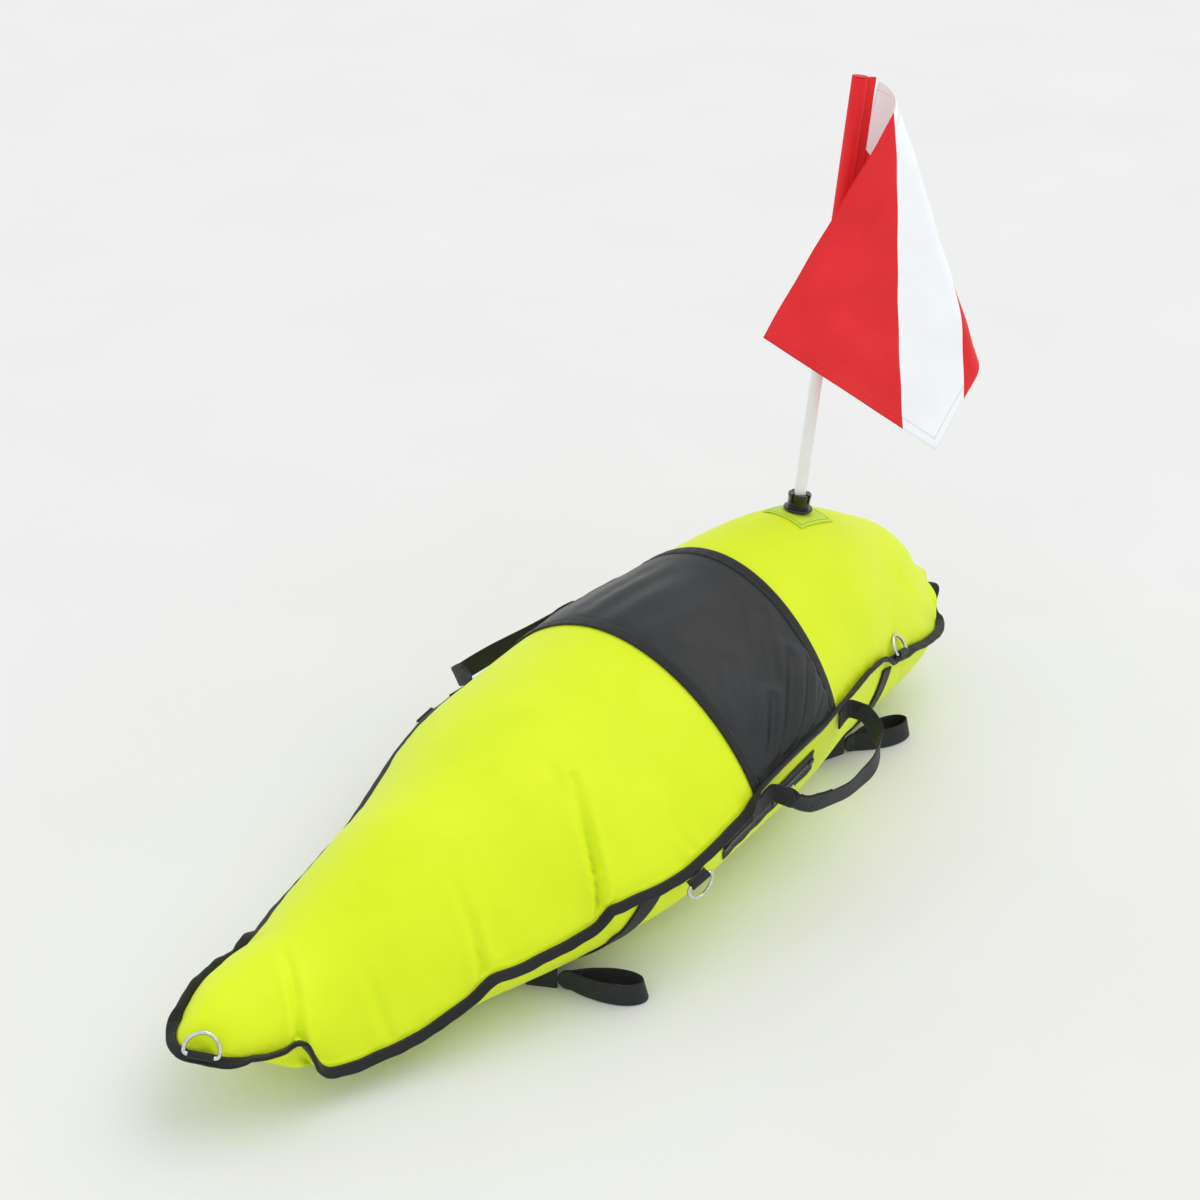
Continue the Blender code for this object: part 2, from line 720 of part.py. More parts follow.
def make_handle(side):
    """Webbing on edge between two roots, hanging a little, its outer end pulled to one side."""
    word = SIDE_WORDS[side]
    front_x, skew = HANDLE_PLACES[side]
    radius = WEBBING_WIDTH / 2
    edge = BINDING_REACH * math.cos(FLANGE_DROOP) + BINDING_HALF_THICKNESS * math.sin(FLANGE_DROOP)
    drop = BINDING_REACH * math.sin(FLANGE_DROOP)
    front, rear = (seam_frame(station_of(x), side) for x in (front_x, front_x + HANDLE_SPAN))
    pivots = [f.origin + f.outward * (edge + 2 * GAP + HANDLE_STUB + radius) - f.up * drop for f in (front, rear)]
    level = frame_from(pivots[0], pivots[1] - pivots[0], front.outward + rear.outward)
    frame = level @ Matrix.Rotation(-side * HANDLE_DROOP, 4, "X")
    span = (pivots[1] - pivots[0]).length
    path = [(0, -radius * math.sin(turn)) for turn in ROUND_END_TURNS]
    halves = [radius * math.cos(turn) for turn in ROUND_END_TURNS]
    for k in range(HANDLE_STEPS + 1):
        turn = math.pi * k / HANDLE_STEPS
        along = span / 2 * (1 - math.cos(turn) + skew * math.sin(turn) ** 2)
        path.append((along, HANDLE_REACH * math.sin(turn)))
        halves.append(radius)
    path += [(span, -radius * math.sin(turn)) for turn in reversed(ROUND_END_TURNS)]
    halves += [radius * math.cos(turn) for turn in reversed(ROUND_END_TURNS)]
    ribbon("handle_" + word, path, WEBBING_THICKNESS, halves, BLACK_WEBBING, frame)
    for name, x in (("handle_root_front_", 0.0), ("handle_root_rear_", span)):
        box(name + word, (x - WEBBING_THICKNESS, x + WEBBING_THICKNESS),
            (-radius - GAP - HANDLE_STUB, -radius - GAP), (-radius, radius), BLACK_WEBBING, level)


def make_strap(name, side, top_x, foot_x):
    def place(u, v):
        x = blend(top_x, foot_x, u) + (v - 0.5) * WEBBING_WIDTH
        s = station_of(x)
        start = angle_for_drop(s, STRAP_TOP_DROP)
        end = angle_for_drop(s, seam_height_at(s) - STRAP_FOOT_HEIGHT)
        return skin(s, side * blend(start, end, u), top=False)
    high = CLOTH_GAP + WEBBING_THICKNESS
    return skin_patch(name, place, STRAP_ROWS, 2, CLOTH_GAP, high, BLACK_WEBBING)


def make_ground_loop(word, side, foot_x, yaw, seat):
    """Loop of webbing on edge beside the belly, with the stub sewn to the cover, or to a strap on it."""
    radius = WEBBING_WIDTH / 2
    middle = radius + LOOP_GROUND_GAP
    heading = Vector((math.sin(yaw), side * math.cos(yaw), 0))
    sideways = Vector((heading.y, -heading.x, 0)) * WEBBING_THICKNESS
    start = Vector((foot_x, side * wall_half_width(station_of(foot_x), middle), 0))
    clearance = CLOTH_GAP + seat

    def reach(height):
        def is_clear(r):
            middle_line = start + heading * r + Vector((0, 0, height))
            faces = (middle_line + sideways, middle_line - sideways)
            return all(section_distance(point, top=False) >= clearance for point in faces)
        return first_clear(is_clear, 0.0, LOOP_SEARCH)

    top, low, bottom = middle + radius, LOOP_STUB_LOW, LOOP_GROUND_GAP
    pivot_reach = reach(top) + LOOP_STUB + GAP + radius
    stub_end = pivot_reach - GAP - radius
    heights = [blend(top, low, k / LOOP_STUB_STEPS) for k in range(LOOP_STUB_STEPS + 1)]
    outline = [(stub_end, bottom), (stub_end, top)] + [(reach(height), height) for height in heights]
    outline.append((reach(low) + LOOP_STUB_LOW / 2, bottom))
    stub_frame = frame_from(start, heading, Vector((0, 0, 1)))
    prism("loop_stub_" + word, outline, -WEBBING_THICKNESS, WEBBING_THICKNESS, BLACK_WEBBING, stub_frame,
          smooth=False)
    pivot = start + heading * pivot_reach + Vector((0, 0, middle))
    frame = frame_from(pivot, heading, Vector((0, 0, 1)).cross(heading))
    strand = (WEBBING_THICKNESS + TAB_FOLD_GAP) / 2
    path = [(-radius * math.sin(turn), strand) for turn in ROUND_END_TURNS]
    halves = [radius * math.cos(turn) for turn in ROUND_END_TURNS]
    for k in range(LOOP_STEPS):
        turn = math.pi * k / LOOP_STEPS
        swell = LOOP_WIDTH / 2 * math.sin(turn) * math.sin(turn / 2) ** LOOP_TAPER
        path.append((LOOP_LENGTH * (1 - math.cos(turn)) / 2, max(strand, swell)))
    path.append((LOOP_LENGTH, 0.0))
    path += [(x, -y) for x, y in reversed(path[:-1])]
    halves = halves + [radius] * (2 * LOOP_STEPS + 1) + list(reversed(halves))
    ribbon("ground_loop_" + word, path, WEBBING_THICKNESS, halves, BLACK_WEBBING, frame)


# Rings

def wire_loop(name, path, radius, look, frame):
    """Closed flat wire whose corners are mitred."""
    count = len(path)
    points = [Vector(p).to_3d() for p in path]
    verts = []
    for i, point in enumerate(points):
        first = (point - points[i - 1]).normalized()
        second = (points[(i + 1) % count] - point).normalized()
        bisector = (first + second).normalized()
        side = Vector((bisector.y, -bisector.x, 0))
        stretch = 1 / side.dot(Vector((first.y, -first.x, 0)))
        for a, b in circle_points(radius, WIRE_SIDES, math.pi / WIRE_SIDES):
            verts.append(point + side * a * stretch + Vector((0, 0, b)))
    faces = []
    for i in range(count):
        j = (i + 1) % count
        for k in range(WIRE_SIDES):
            m = (k + 1) % WIRE_SIDES
            faces.append((WIRE_SIDES * i + k, WIRE_SIDES * i + m, WIRE_SIDES * j + m, WIRE_SIDES * j + k))
    return add_mesh(name, verts, faces, look, frame)


def folded_tab(name, eye_radius, leg, thickness, width, look, frame):
    """Strip folded round a bar at the frame's origin; its legs run back along -X."""
    centre = eye_radius + thickness / 2
    offset = (thickness + TAB_FOLD_GAP) / 2
    opening = math.pi - math.asin(offset / centre)
    path = [(-centre - leg, -offset)]
    for k in range(TAB_STEPS + 1):
        turn = blend(-opening, opening, k / TAB_STEPS)
        path.append((centre * math.cos(turn), centre * math.sin(turn)))
    path.append((-centre - leg, offset))
    return ribbon(name, path, thickness, [width / 2] * len(path), look, frame)


def make_ring(word, s, side, is_raised):
    """D-ring in its folded tab: raised against the top panel, or hanging from the binding's edge."""
    seam = seam_frame(s, side)
    eye = RING_WIRE / 2 + RUNNING_GAP
    reach = GAP + TAB_LEG + eye + WEBBING_THICKNESS / 2
    if is_raised:
        bar = seam.origin + seam.along * RAISED_TAB_OFFSET + seam.across * (BINDING_HALF_THICKNESS + reach)
        direction = seam.across
    else:
        bar = seam.origin + seam.along * (BINDING_REACH + reach - TAB_PRESS)
        direction = seam.along
    tab_frame = frame_from(bar, direction, seam.tangent.cross(direction))
    folded_tab("ring_tab_" + word, eye, TAB_LEG, WEBBING_THICKNESS, WEBBING_WIDTH, BLACK_WEBBING, tab_frame)
    half = (RING_INNER_WIDTH + RING_WIRE) / 2
    path = [(-half, 0), (half, 0)]
    for k in range(RING_STEPS + 1):
        turn = math.pi * k / RING_STEPS
        path.append((half * math.cos(turn), RING_ARM + half * math.sin(turn)))

    def arm(lean):
        return seam.outward * math.cos(lean) + seam.up * math.sin(lean)

    def is_clear(lean):
        margin = RING_WIRE / 2 + RING_REST_GAP
        rest = [bar + seam.tangent * x + arm(lean) * y for x, y in path[2:]]
        return all(section_distance(point, top=True) >= margin for point in rest)
    lean = first_clear(is_clear, RING_LEAN_LIMIT, math.pi / 2) if is_raised else -math.pi / 2
    wire_loop("ring_" + word, path, RING_WIRE / 2, STEEL, frame_from(bar, seam.tangent, arm(lean)))


# Zip on the right lower panel

def zip_frame():
    """Straight track laid against the wall: X rearward, Y up, Z outward."""
    ends = []
    for x in (ZIP_FRONT_X, ZIP_REAR_X):
        s = station_of(x)
        ends.append(skin(s, RIGHT * angle_for_drop(s, ZIP_DROP), top=False)[0])
    middle = (ends[0] + ends[1]) / 2
    s = station_of(middle.x)
    normal = hull_normal(s, RIGHT * angle_for_drop(s, ZIP_DROP), top=False)
    frame = frame_from(middle, ends[1] - ends[0], normal.cross(ends[1] - ends[0]))
    half_x = (ends[1] - ends[0]).length / 2 + ZIP_END_LENGTH
    half_y = ZIP_CHAIN_WIDTH / 2 + ZIP_TAPE_WIDTH + GAP
    samples = []
    for i in range(ZIP_SAMPLES + 1):
        t = station_of(blend(ZIP_FRONT_X - ZIP_END_LENGTH, ZIP_REAR_X + ZIP_END_LENGTH, i / ZIP_SAMPLES))
        for j in range(ZIP_SAMPLES + 1):
            angle = angle_for_drop(t, blend(0.0, 2 * ZIP_DROP, j / ZIP_SAMPLES))
            samples.append(skin(t, RIGHT * angle, top=False)[0])
    return raised(frame, seat_lift(frame, half_x, half_y, samples) + GAP - ZIP_PRESS)


def make_zip(frame):
    track = ZIP_REAR_X - ZIP_FRONT_X
    half, chain = track / 2, ZIP_CHAIN_WIDTH / 2
    inner = chain + GAP
    full = half + ZIP_END_LENGTH
    box("zip_tape_upper", (-full, full), (inner, inner + ZIP_TAPE_WIDTH), (0, ZIP_TAPE_THICKNESS),
        BLACK_WEBBING, frame)
    box("zip_tape_lower", (-full, full), (-inner - ZIP_TAPE_WIDTH, -inner), (0, ZIP_TAPE_THICKNESS),
        BLACK_WEBBING, frame)
    make_teeth("zip_teeth_upper", 1, half, frame)
    make_teeth("zip_teeth_lower", -1, half, frame)
    for name, low, high in (("zip_stop_front", -full, -half - GAP), ("zip_stop_rear", half + GAP, full)):
        box(name, (low, high), (-chain, chain), (0, ZIP_END_THICKNESS), BLACK_PLASTIC, frame)
    make_slider(frame)


def make_teeth(name, side, half, frame):
    """Comb of teeth on one tape edge; the other comb stands half a pitch along."""
    chain = ZIP_CHAIN_WIDTH / 2
    root = chain - ZIP_SPINE
    tip = -root + GAP
    count = int(2 * half / ZIP_TOOTH_PITCH)
    width = ZIP_TOOTH_PITCH / 2 - GAP
    shift = 0.0 if side > 0 else ZIP_TOOTH_PITCH / 2
    outline = [(-half, chain), (-half, root)]
    for k in range(count):
        x = -half + GAP + shift + k * ZIP_TOOTH_PITCH
        if x + width > half - GAP:
            break
        outline += [(x, root), (x, tip), (x + width, tip), (x + width, root)]
    outline += [(half, root), (half, chain)]
    outline = [(x, side * y) for x, y in outline]
    prism(name, outline, 0.0, ZIP_TOOTH_THICKNESS, BLACK_PLASTIC, frame, smooth=False)


def make_slider(frame):
    """Slider over the chain, with cheeks and a pin, and the pull that hangs on the pin."""
    chain = ZIP_CHAIN_WIDTH / 2
    inner = chain + RUNNING_GAP
    outer = inner + SLIDER_LIP
    plate_low = ZIP_TOOTH_THICKNESS + RUNNING_GAP
    plate_top = plate_low + SLIDER_PLATE
    lip_low = ZIP_TAPE_THICKNESS + RUNNING_GAP
    x = SLIDER_POSITION - (ZIP_FRONT_X + ZIP_REAR_X) / 2
    half = SLIDER_LENGTH / 2
    place = frame @ Matrix.Translation((x, 0, 0))
    section = ((-outer, lip_low), (-outer, plate_top), (outer, plate_top), (outer, lip_low),
               (inner, lip_low), (inner, plate_low), (-inner, plate_low), (-inner, lip_low))
    upright = place @ Matrix(((0, 0, 1, 0), (1, 0, 0, 0), (0, 1, 0, 0), (0, 0, 0, 1)))
    slider = prism("zip_slider", section, -half, half, BLACK_PLASTIC, upright, smooth=False)
    cheek = PULL_WIDTH / 2 + RUNNING_GAP
    pin_height = plate_top + CHEEK_HEIGHT - CHEEK_THICKNESS
    sink = SLIDER_PLATE / 2
    parts = []
    for sign in (-1, 1):
        y_range = sorted((sign * cheek, sign * (cheek + CHEEK_THICKNESS)))
        parts.append(box("cheek", (-CHEEK_THICKNESS, CHEEK_THICKNESS), y_range,
                         (plate_top - sink, plate_top + CHEEK_HEIGHT), BLACK_PLASTIC, place))
    pin_frame = place @ Matrix.Translation((0, 0, pin_height)) @ Matrix.Rotation(math.pi / 2, 4, "X")
    pin_half = cheek + CHEEK_THICKNESS / 2
    parts.append(prism("pin", circle_points(PIN_RADIUS, PIN_SIDES), -pin_half, pin_half, BLACK_PLASTIC, pin_frame))
    combine(slider, parts, "UNION")
    eye = PIN_RADIUS + RUNNING_GAP
    pull_frame = place @ Matrix.Translation((0, 0, pin_height)) @ Matrix(
        ((-1, 0, 0, 0), (0, 0, 1, 0), (0, 1, 0, 0), (0, 0, 0, 1)))
    folded_tab("zip_pull", eye, PULL_LENGTH, PULL_THICKNESS / 2, PULL_WIDTH, STEEL, pull_frame)


# Valve of the bladder

def valve_frame():
    s = station_of(VALVE_X)
    origin, normal = skin(s, RIGHT * angle_for_drop(s, VALVE_DROP), top=False)
    return frame_from(origin, Vector((1, 0, 0)), normal.cross(Vector((1, 0, 0))))


def make_valve(frame):
    floor = -BLADDER_INSET - VALVE_POCKET_DEPTH + GAP
    disc_top = floor + VALVE_DISC_THICKNESS
    tube_top = disc_top + VALVE_TUBE_LENGTH
    turned("valve_body", ((VALVE_BORE_RADIUS, floor), (VALVE_DISC_RADIUS, floor), (VALVE_DISC_RADIUS, disc_top),
                          (VALVE_TUBE_RADIUS, disc_top), (VALVE_TUBE_RADIUS, tube_top),
                          (VALVE_BORE_RADIUS, tube_top)), BLACK_PLASTIC, frame)
    stopper = VALVE_BORE_RADIUS - RUNNING_GAP
    head_low = tube_top + GAP
    turned("valve_plug", ((0, tube_top - PLUG_DEPTH), (stopper, tube_top - PLUG_DEPTH), (stopper, head_low),
                          (PLUG_HEAD_RADIUS, head_low), (PLUG_HEAD_RADIUS, head_low + PLUG_HEAD_THICKNESS),
                          (0, head_low + PLUG_HEAD_THICKNESS)), BLACK_PLASTIC, frame)


# Pole, socket and flag

def pole_frame():
    """Z up the leaning pole, from the crest of the float."""
    origin = skin(station_of(POLE_X), 0.0)[0]
    axis = Vector((math.tan(POLE_LEAN), math.tan(POLE_SIDE_LEAN), 1)).normalized()
    across = Vector((0, 1, 0)).cross(axis)
    return frame_from(origin, across, axis.cross(across))


def crest_samples(radius, thickness):
    """Points of the upper skin round the pole, raised by a thickness."""
    samples = []
    for i in range(-SEAT_SAMPLES, SEAT_SAMPLES + 1):
        s = station_of(POLE_X + radius * i / SEAT_SAMPLES)
        width = half_width_at(s) * end_round(s)
        for j in range(-SEAT_SAMPLES, SEAT_SAMPLES + 1):
            angle = math.asin(max(-1.0, min(1.0, radius * j / SEAT_SAMPLES / width)))
            point, normal = skin(s, angle)
            samples.append(point + normal * thickness)
    return samples


def make_socket(frame):
    patch_top = CLOTH_GAP + PATCH_THICKNESS
    flange_low = seat_lift(frame, SOCKET_FLANGE_RADIUS, SOCKET_FLANGE_RADIUS,
                           crest_samples(SOCKET_FLANGE_RADIUS, patch_top)) + GAP
    flange_top = flange_low + SOCKET_FLANGE_HEIGHT
    rim = flange_top + SOCKET_TUBE_HEIGHT
    bottom = -SOCKET_DEPTH - SOCKET_FLOOR
    socket = turned("flag_socket", ((0, bottom), (SOCKET_RADIUS, bottom), (SOCKET_RADIUS, flange_low),
                                    (SOCKET_FLANGE_RADIUS, flange_low), (SOCKET_FLANGE_RADIUS, flange_top),
                                    (SOCKET_RADIUS, flange_top), (SOCKET_RADIUS, rim), (SOCKET_BORE, rim),
                                    (SOCKET_BORE, -SOCKET_DEPTH), (0, -SOCKET_DEPTH)), BLACK_PLASTIC, frame)
    slot, wide = SOCKET_SLOT_WIDTH / 2, SOCKET_RADIUS + SOCKET_WALL
    z_range = (rim - SOCKET_SLOT_DEPTH, rim + SOCKET_SLOT_WIDTH)
    combine(socket, [box("slot_x", (-wide, wide), (-slot, slot), z_range, BLACK_PLASTIC, frame),
                     box("slot_y", (-slot, slot), (-wide, wide), z_range, BLACK_PLASTIC, frame)], "DIFFERENCE")

    def patch(u, v):
        s = station_of(POLE_X + PATCH_SIZE * (u - 0.5))
        width = half_width_at(s) * end_round(s)
        return skin(s, math.asin(PATCH_SIZE * (v - 0.5) / width))
    sheet = skin_patch("socket_patch", patch, 8, 8, CLOTH_GAP, patch_top, PATCH_YELLOW)
    combine(sheet, [socket_hole(frame)], "DIFFERENCE")

    inverse = frame.inverted()
    under = min((inverse @ point).z for point in crest_samples(WASHER_RADIUS, -CLOTH - SKIN_LIFT)
                if math.hypot(*(inverse @ point).xy) <= WASHER_RADIUS)
    washer_top = under - FACET_ALLOWANCE
    washer_low = washer_top - WASHER_THICKNESS
    bore = SOCKET_RADIUS + GAP
    turned("socket_washer", ((bore, washer_low), (WASHER_RADIUS, washer_low), (WASHER_RADIUS, washer_top),
                             (bore, washer_top)), BLACK_PLASTIC, frame)
    nut_top = washer_low - GAP
    nut = prism("socket_nut", circle_points(NUT_RADIUS, 6), nut_top - NUT_HEIGHT, nut_top, BLACK_PLASTIC, frame,
                smooth=False)
    hole = prism("nut_hole", circle_points(bore, 24), nut_top - 2 * NUT_HEIGHT, nut_top + NUT_HEIGHT,
                 BLACK_PLASTIC, frame)
    combine(nut, [hole], "DIFFERENCE")


def socket_hole(frame):
    return prism("socket_hole", circle_points(SOCKET_RADIUS + CLOTH_GAP, 24), -SOCKET_DEPTH, SOCKET_DEPTH,
                 BLACK_PLASTIC, frame)


def make_pole(frame):
    bore = POLE_RADIUS - POLE_WALL
    foot = -SOCKET_DEPTH + GAP
    tube_low = foot + FOOT_PLUG_HEIGHT + GAP
    turned("flag_pole", ((bore, tube_low), (POLE_RADIUS, tube_low), (POLE_RADIUS, POLE_HEIGHT),
                         (bore, POLE_HEIGHT)), WHITE_PLASTIC, frame, sides=16)
    inner = bore - GAP
    turned("pole_foot_plug", ((0, foot), (POLE_RADIUS, foot), (POLE_RADIUS, foot + FOOT_PLUG_HEIGHT),
                              (inner, foot + FOOT_PLUG_HEIGHT), (inner, foot + 3 * FOOT_PLUG_HEIGHT),
                              (0, foot + 3 * FOOT_PLUG_HEIGHT)), BLACK_PLASTIC, frame, sides=16)
    cap = POLE_HEIGHT + GAP
    turned("pole_tip_cap", ((0, POLE_HEIGHT - TIP_CAP_PLUG), (inner, POLE_HEIGHT - TIP_CAP_PLUG), (inner, cap),
                            (POLE_RADIUS, cap), (POLE_RADIUS, cap + TIP_CAP_HEIGHT / 2),
                            (POLE_RADIUS * 0.7, cap + TIP_CAP_HEIGHT), (0, cap + TIP_CAP_HEIGHT)),
           WHITE_PLASTIC, frame, sides=16)


def make_flag(frame):
    """Sleeve round the pole, its closed top and the folded sheet."""
    axis = frame.col[2].to_3d()
    fly = Vector((math.cos(FLAG_YAW), math.sin(FLAG_YAW), 0))
    fly = (fly - axis * fly.dot(axis)).normalized()
    hoist_top = POLE_HEIGHT + GAP + TIP_CAP_HEIGHT + GAP
    top_point = frame @ Vector((0, 0, hoist_top))
    flag_frame = frame_from(top_point, fly, axis.cross(fly))
    sleeve_frame = raised(flag_frame, -FLAG_HOIST / 2)
    sleeve_radius = POLE_RADIUS + SLEEVE_EASE
    turn_over = sleeve_frame @ Matrix.Rotation(math.pi, 4, "Z")
    folded_tab("flag_sleeve", sleeve_radius, SLEEVE_TAIL, SLEEVE_CLOTH, FLAG_HOIST, RED_CLOTH, turn_over)
    disc = sleeve_radius + SLEEVE_CLOTH
    turned("sleeve_top", ((0, GAP), (disc, GAP), (disc, GAP + SLEEVE_CLOTH), (0, GAP + SLEEVE_CLOTH)), RED_CLOTH,
           flag_frame, sides=16)
    start = sleeve_radius + SLEEVE_CLOTH / 2 + SLEEVE_TAIL + GAP

    def fold_distance(spot):
        """Distance of a spot on the flat flag past the start of the slanting fold."""
        return (spot.x - FOLD_START) * math.cos(FOLD_SLANT) - spot.y * math.sin(FOLD_SLANT)

    def sheet_point(spot, height):
        """Spot on the flat flag bent round the fold and raised from the cloth's middle."""
        across = fold_distance(spot)
        along = (spot.x - FOLD_START) * math.sin(FOLD_SLANT) + spot.y * math.cos(FOLD_SLANT)
        turn = min(max(across / FOLD_RADIUS, 0.0), FOLD_ANGLE)
        past = across - turn * FOLD_RADIUS
        out = FOLD_RADIUS * math.sin(turn) + past * math.cos(turn) + height * math.sin(turn)
        forward = FOLD_RADIUS * (1 - math.cos(turn)) + past * math.sin(turn) - height * math.cos(turn)
        x = FOLD_START + along * math.sin(FOLD_SLANT) + out * math.cos(FOLD_SLANT)
        z = out * math.sin(FOLD_SLANT) - along * math.cos(FOLD_SLANT)
        return flag_frame @ Vector((x, -forward, z))

    outline = [Vector(p) for p in ((start, 0), (FLAG_FLY, 0), (FLAG_FLY, FLAG_HOIST), (start, FLAG_HOIST))]
    limits = [FOLD_RADIUS * FOLD_ANGLE * k / FOLD_STRIPS for k in range(FOLD_STRIPS + 1)]
    limits = [-FLAG_FLY - FLAG_HOIST] + limits + [FLAG_FLY + FLAG_HOIST]
    spots, strips = [], []
    for low, high in zip(limits, limits[1:]):
        strip = cut_outline(cut_outline(outline, fold_distance, low, 1), fold_distance, high, -1)
        strips.append([spot_number(spots, spot) for spot in strip])
    half = FLAG_CLOTH / 2
    verts = [sheet_point(spot, height) for height in (half, -half) for spot in spots]
    count = len(spots)
    faces = strips + [tuple(count + k for k in reversed(strip)) for strip in strips]
    edges = [pair for strip in strips for pair in zip(strip, strip[1:] + strip[:1])]
    faces += [(b, a, a + count, b + count) for a, b in edges if (b, a) not in edges]
    add_mesh("flag", verts, faces, RED_CLOTH)


def cut_outline(outline, measure, limit, side):
    """Part of a flat outline where the measure lies on one side of a limit."""
    kept = []
    for a, b in zip(outline, outline[1:] + outline[:1]):
        before, after = side * (measure(a) - limit), side * (measure(b) - limit)
        if before >= 0:
            kept.append(a)
        if before * after < 0:
            kept.append(a.lerp(b, before / (before - after)))
    return kept


def spot_number(spots, spot):
    """Number of a spot in the list, added if it is new."""
    for k, known in enumerate(spots):
        if (known - spot).length < GAP / 10:
            return k
    spots.append(spot)
    return len(spots) - 1


def build():
    clear_scene()
    pole, track, valve = pole_frame(), zip_frame(), valve_frame()
    make_panel("cover_top", True, TOP_COLUMNS, [socket_hole(pole)])
    half = (ZIP_REAR_X - ZIP_FRONT_X) / 2
    slit = ZIP_CHAIN_WIDTH / 2 - ZIP_SPINE / 2
    slit_cutter = box("slit", (-half, half), (-slit, slit), (-SLIT_CUT_DEPTH, ZIP_CHAIN_WIDTH), BLACK_PLASTIC, track)
    make_panel("cover_bottom", False, BELLY_COLUMNS, [slit_cutter])
    make_binding()
    make_bladder(pole, valve)
    make_valve(valve)
    make_saddle()
    for side in (RIGHT, LEFT):
        make_handle(side)
        word = SIDE_WORDS[side]
        make_strap("strap_front_" + word, side, FRONT_STRAP_TOP_X, FRONT_STRAP_FOOT_X)
        make_strap("strap_rear_" + word, side, REAR_STRAP_TOP_X, REAR_STRAP_FOOT_X)
        make_ground_loop("front_" + word, side, FRONT_LOOP_X, FRONT_LOOP_YAW, GAP)
        make_ground_loop("rear_" + word, side, REAR_LOOP_X, REAR_LOOP_YAW, WEBBING_THICKNESS + 3 * GAP)
        make_ring("front_" + word, station_of(FRONT_RING_X), side, False)
        make_ring("rear_" + word, station_of(REAR_RING_X), side, True)
    make_ring("nose", -NOSE_RING_STATION, RIGHT, True)
    make_zip(track)
    make_socket(pole)
    make_pole(pole)
    make_flag(pole)


build()
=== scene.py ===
"""Freediving buoy, dressed: yellow coated cloth over an air bladder, black seam binding, saddle
and webbing, steel rings, a zip in the right lower panel, and a red flag on a white pole.

Metres, +Z up. X runs from the nose (-X) to the tail (+X), and -Y is the side with the zip.
"""
import json
import math

import bmesh
import bpy
import numpy as np
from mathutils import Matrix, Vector


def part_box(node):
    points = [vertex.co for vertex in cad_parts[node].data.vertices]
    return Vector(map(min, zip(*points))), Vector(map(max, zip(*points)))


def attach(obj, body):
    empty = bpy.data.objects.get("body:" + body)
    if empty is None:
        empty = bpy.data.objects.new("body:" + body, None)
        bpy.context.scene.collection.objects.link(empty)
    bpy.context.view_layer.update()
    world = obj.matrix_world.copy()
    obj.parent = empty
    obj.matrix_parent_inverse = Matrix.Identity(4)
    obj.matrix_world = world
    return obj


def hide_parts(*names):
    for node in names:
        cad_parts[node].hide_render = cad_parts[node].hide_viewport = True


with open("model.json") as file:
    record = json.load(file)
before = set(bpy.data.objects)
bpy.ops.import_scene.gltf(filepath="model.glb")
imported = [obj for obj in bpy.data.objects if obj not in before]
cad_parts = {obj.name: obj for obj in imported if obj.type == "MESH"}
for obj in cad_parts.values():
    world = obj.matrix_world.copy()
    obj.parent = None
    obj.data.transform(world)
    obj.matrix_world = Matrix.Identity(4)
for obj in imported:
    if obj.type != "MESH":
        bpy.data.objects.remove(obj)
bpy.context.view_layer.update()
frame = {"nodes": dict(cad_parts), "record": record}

# Cover panels
# Two cut pieces of polyurethane-coated nylon, neon yellow, sewn together round their rim. The air
# bladder inside blows them up; the seam pulls small puckers and a few deep folds into the cloth.

HALF_LENGTH = 0.568
BODY_STATIONS = np.array((-1.0, -0.75, -0.45, -0.1, 0.25, 0.55, 0.8, 1.0))
CLOTH = 0.0008
SKIN_LIFT = 0.00095
FLANGE_WIDTH = 0.0125
FLANGE_DROOP = math.radians(35)
RIGHT, LEFT = -1, 1
WORDS = {RIGHT: "right", LEFT: "left"}


def smooth_curve(values):
    """Monotone cubic through the values at the body stations."""
    values = np.array(values)
    steps = np.diff(BODY_STATIONS)
    rates = np.diff(values) / steps
    before, after = rates[:-1], rates[1:]
    level = before * after <= 0
    inner = np.where(level, 0.0, 2 * before * after / np.where(level, 1.0, before + after))
    slopes = np.concatenate([rates[:1], inner, rates[-1:]])

    def curve(s):
        k = np.clip(np.searchsorted(BODY_STATIONS, s) - 1, 0, len(steps) - 1)
        u = (s - BODY_STATIONS[k]) / steps[k]
        leave = values[k] + steps[k] * slopes[k] * u * (1 - u) ** 2
        rise = (values[k + 1] - values[k]) * u * u * (3 - 2 * u)
        return leave + rise - steps[k] * slopes[k + 1] * u * u * (1 - u)
    return curve


half_width = smooth_curve((0.052, 0.095, 0.141, 0.193, 0.178, 0.135, 0.106, 0.102))
seam_height = smooth_curve((0.093, 0.052, 0.076, 0.127, 0.158, 0.150, 0.108, 0.078))
crest_rise = smooth_curve((0.050, 0.078, 0.117, 0.109, 0.120, 0.155, 0.142, 0.121))
top_fullness = smooth_curve((1.66, 1.66, 1.66, 1.66, 1.52, 1.43, 1.43, 1.58))
belly_height = smooth_curve((0.080, 0.020, 0.0, 0.0, 0.0, 0.0, 0.004, 0.040))


def end_round(s):
    power = np.where(s < 0, 8.0, 12.0)
    return np.sqrt(np.maximum(0.0, 1 - np.minimum(1.0, np.abs(s)) ** power))


def belly_depth(s):
    return (seam_height(s) - belly_height(s) + 0.004) * end_round(s)


def hull(s, angle, top=True):
    """Blown-up shape: angle is 0 on the centre line and a quarter turn at the seam."""
    s, angle = np.broadcast_arrays(np.asarray(s, float), np.asarray(angle, float))
    bulge = np.maximum(0.0, np.cos(angle))
    y = half_width(s) * end_round(s) * np.sin(angle)
    if top:
        z = seam_height(s) + crest_rise(s) * end_round(s) * bulge ** top_fullness(s)
    else:
        z = np.maximum(seam_height(s) - belly_depth(s) * bulge ** 0.80, 0.0)
    return np.stack([s * HALF_LENGTH, y, z], -1)


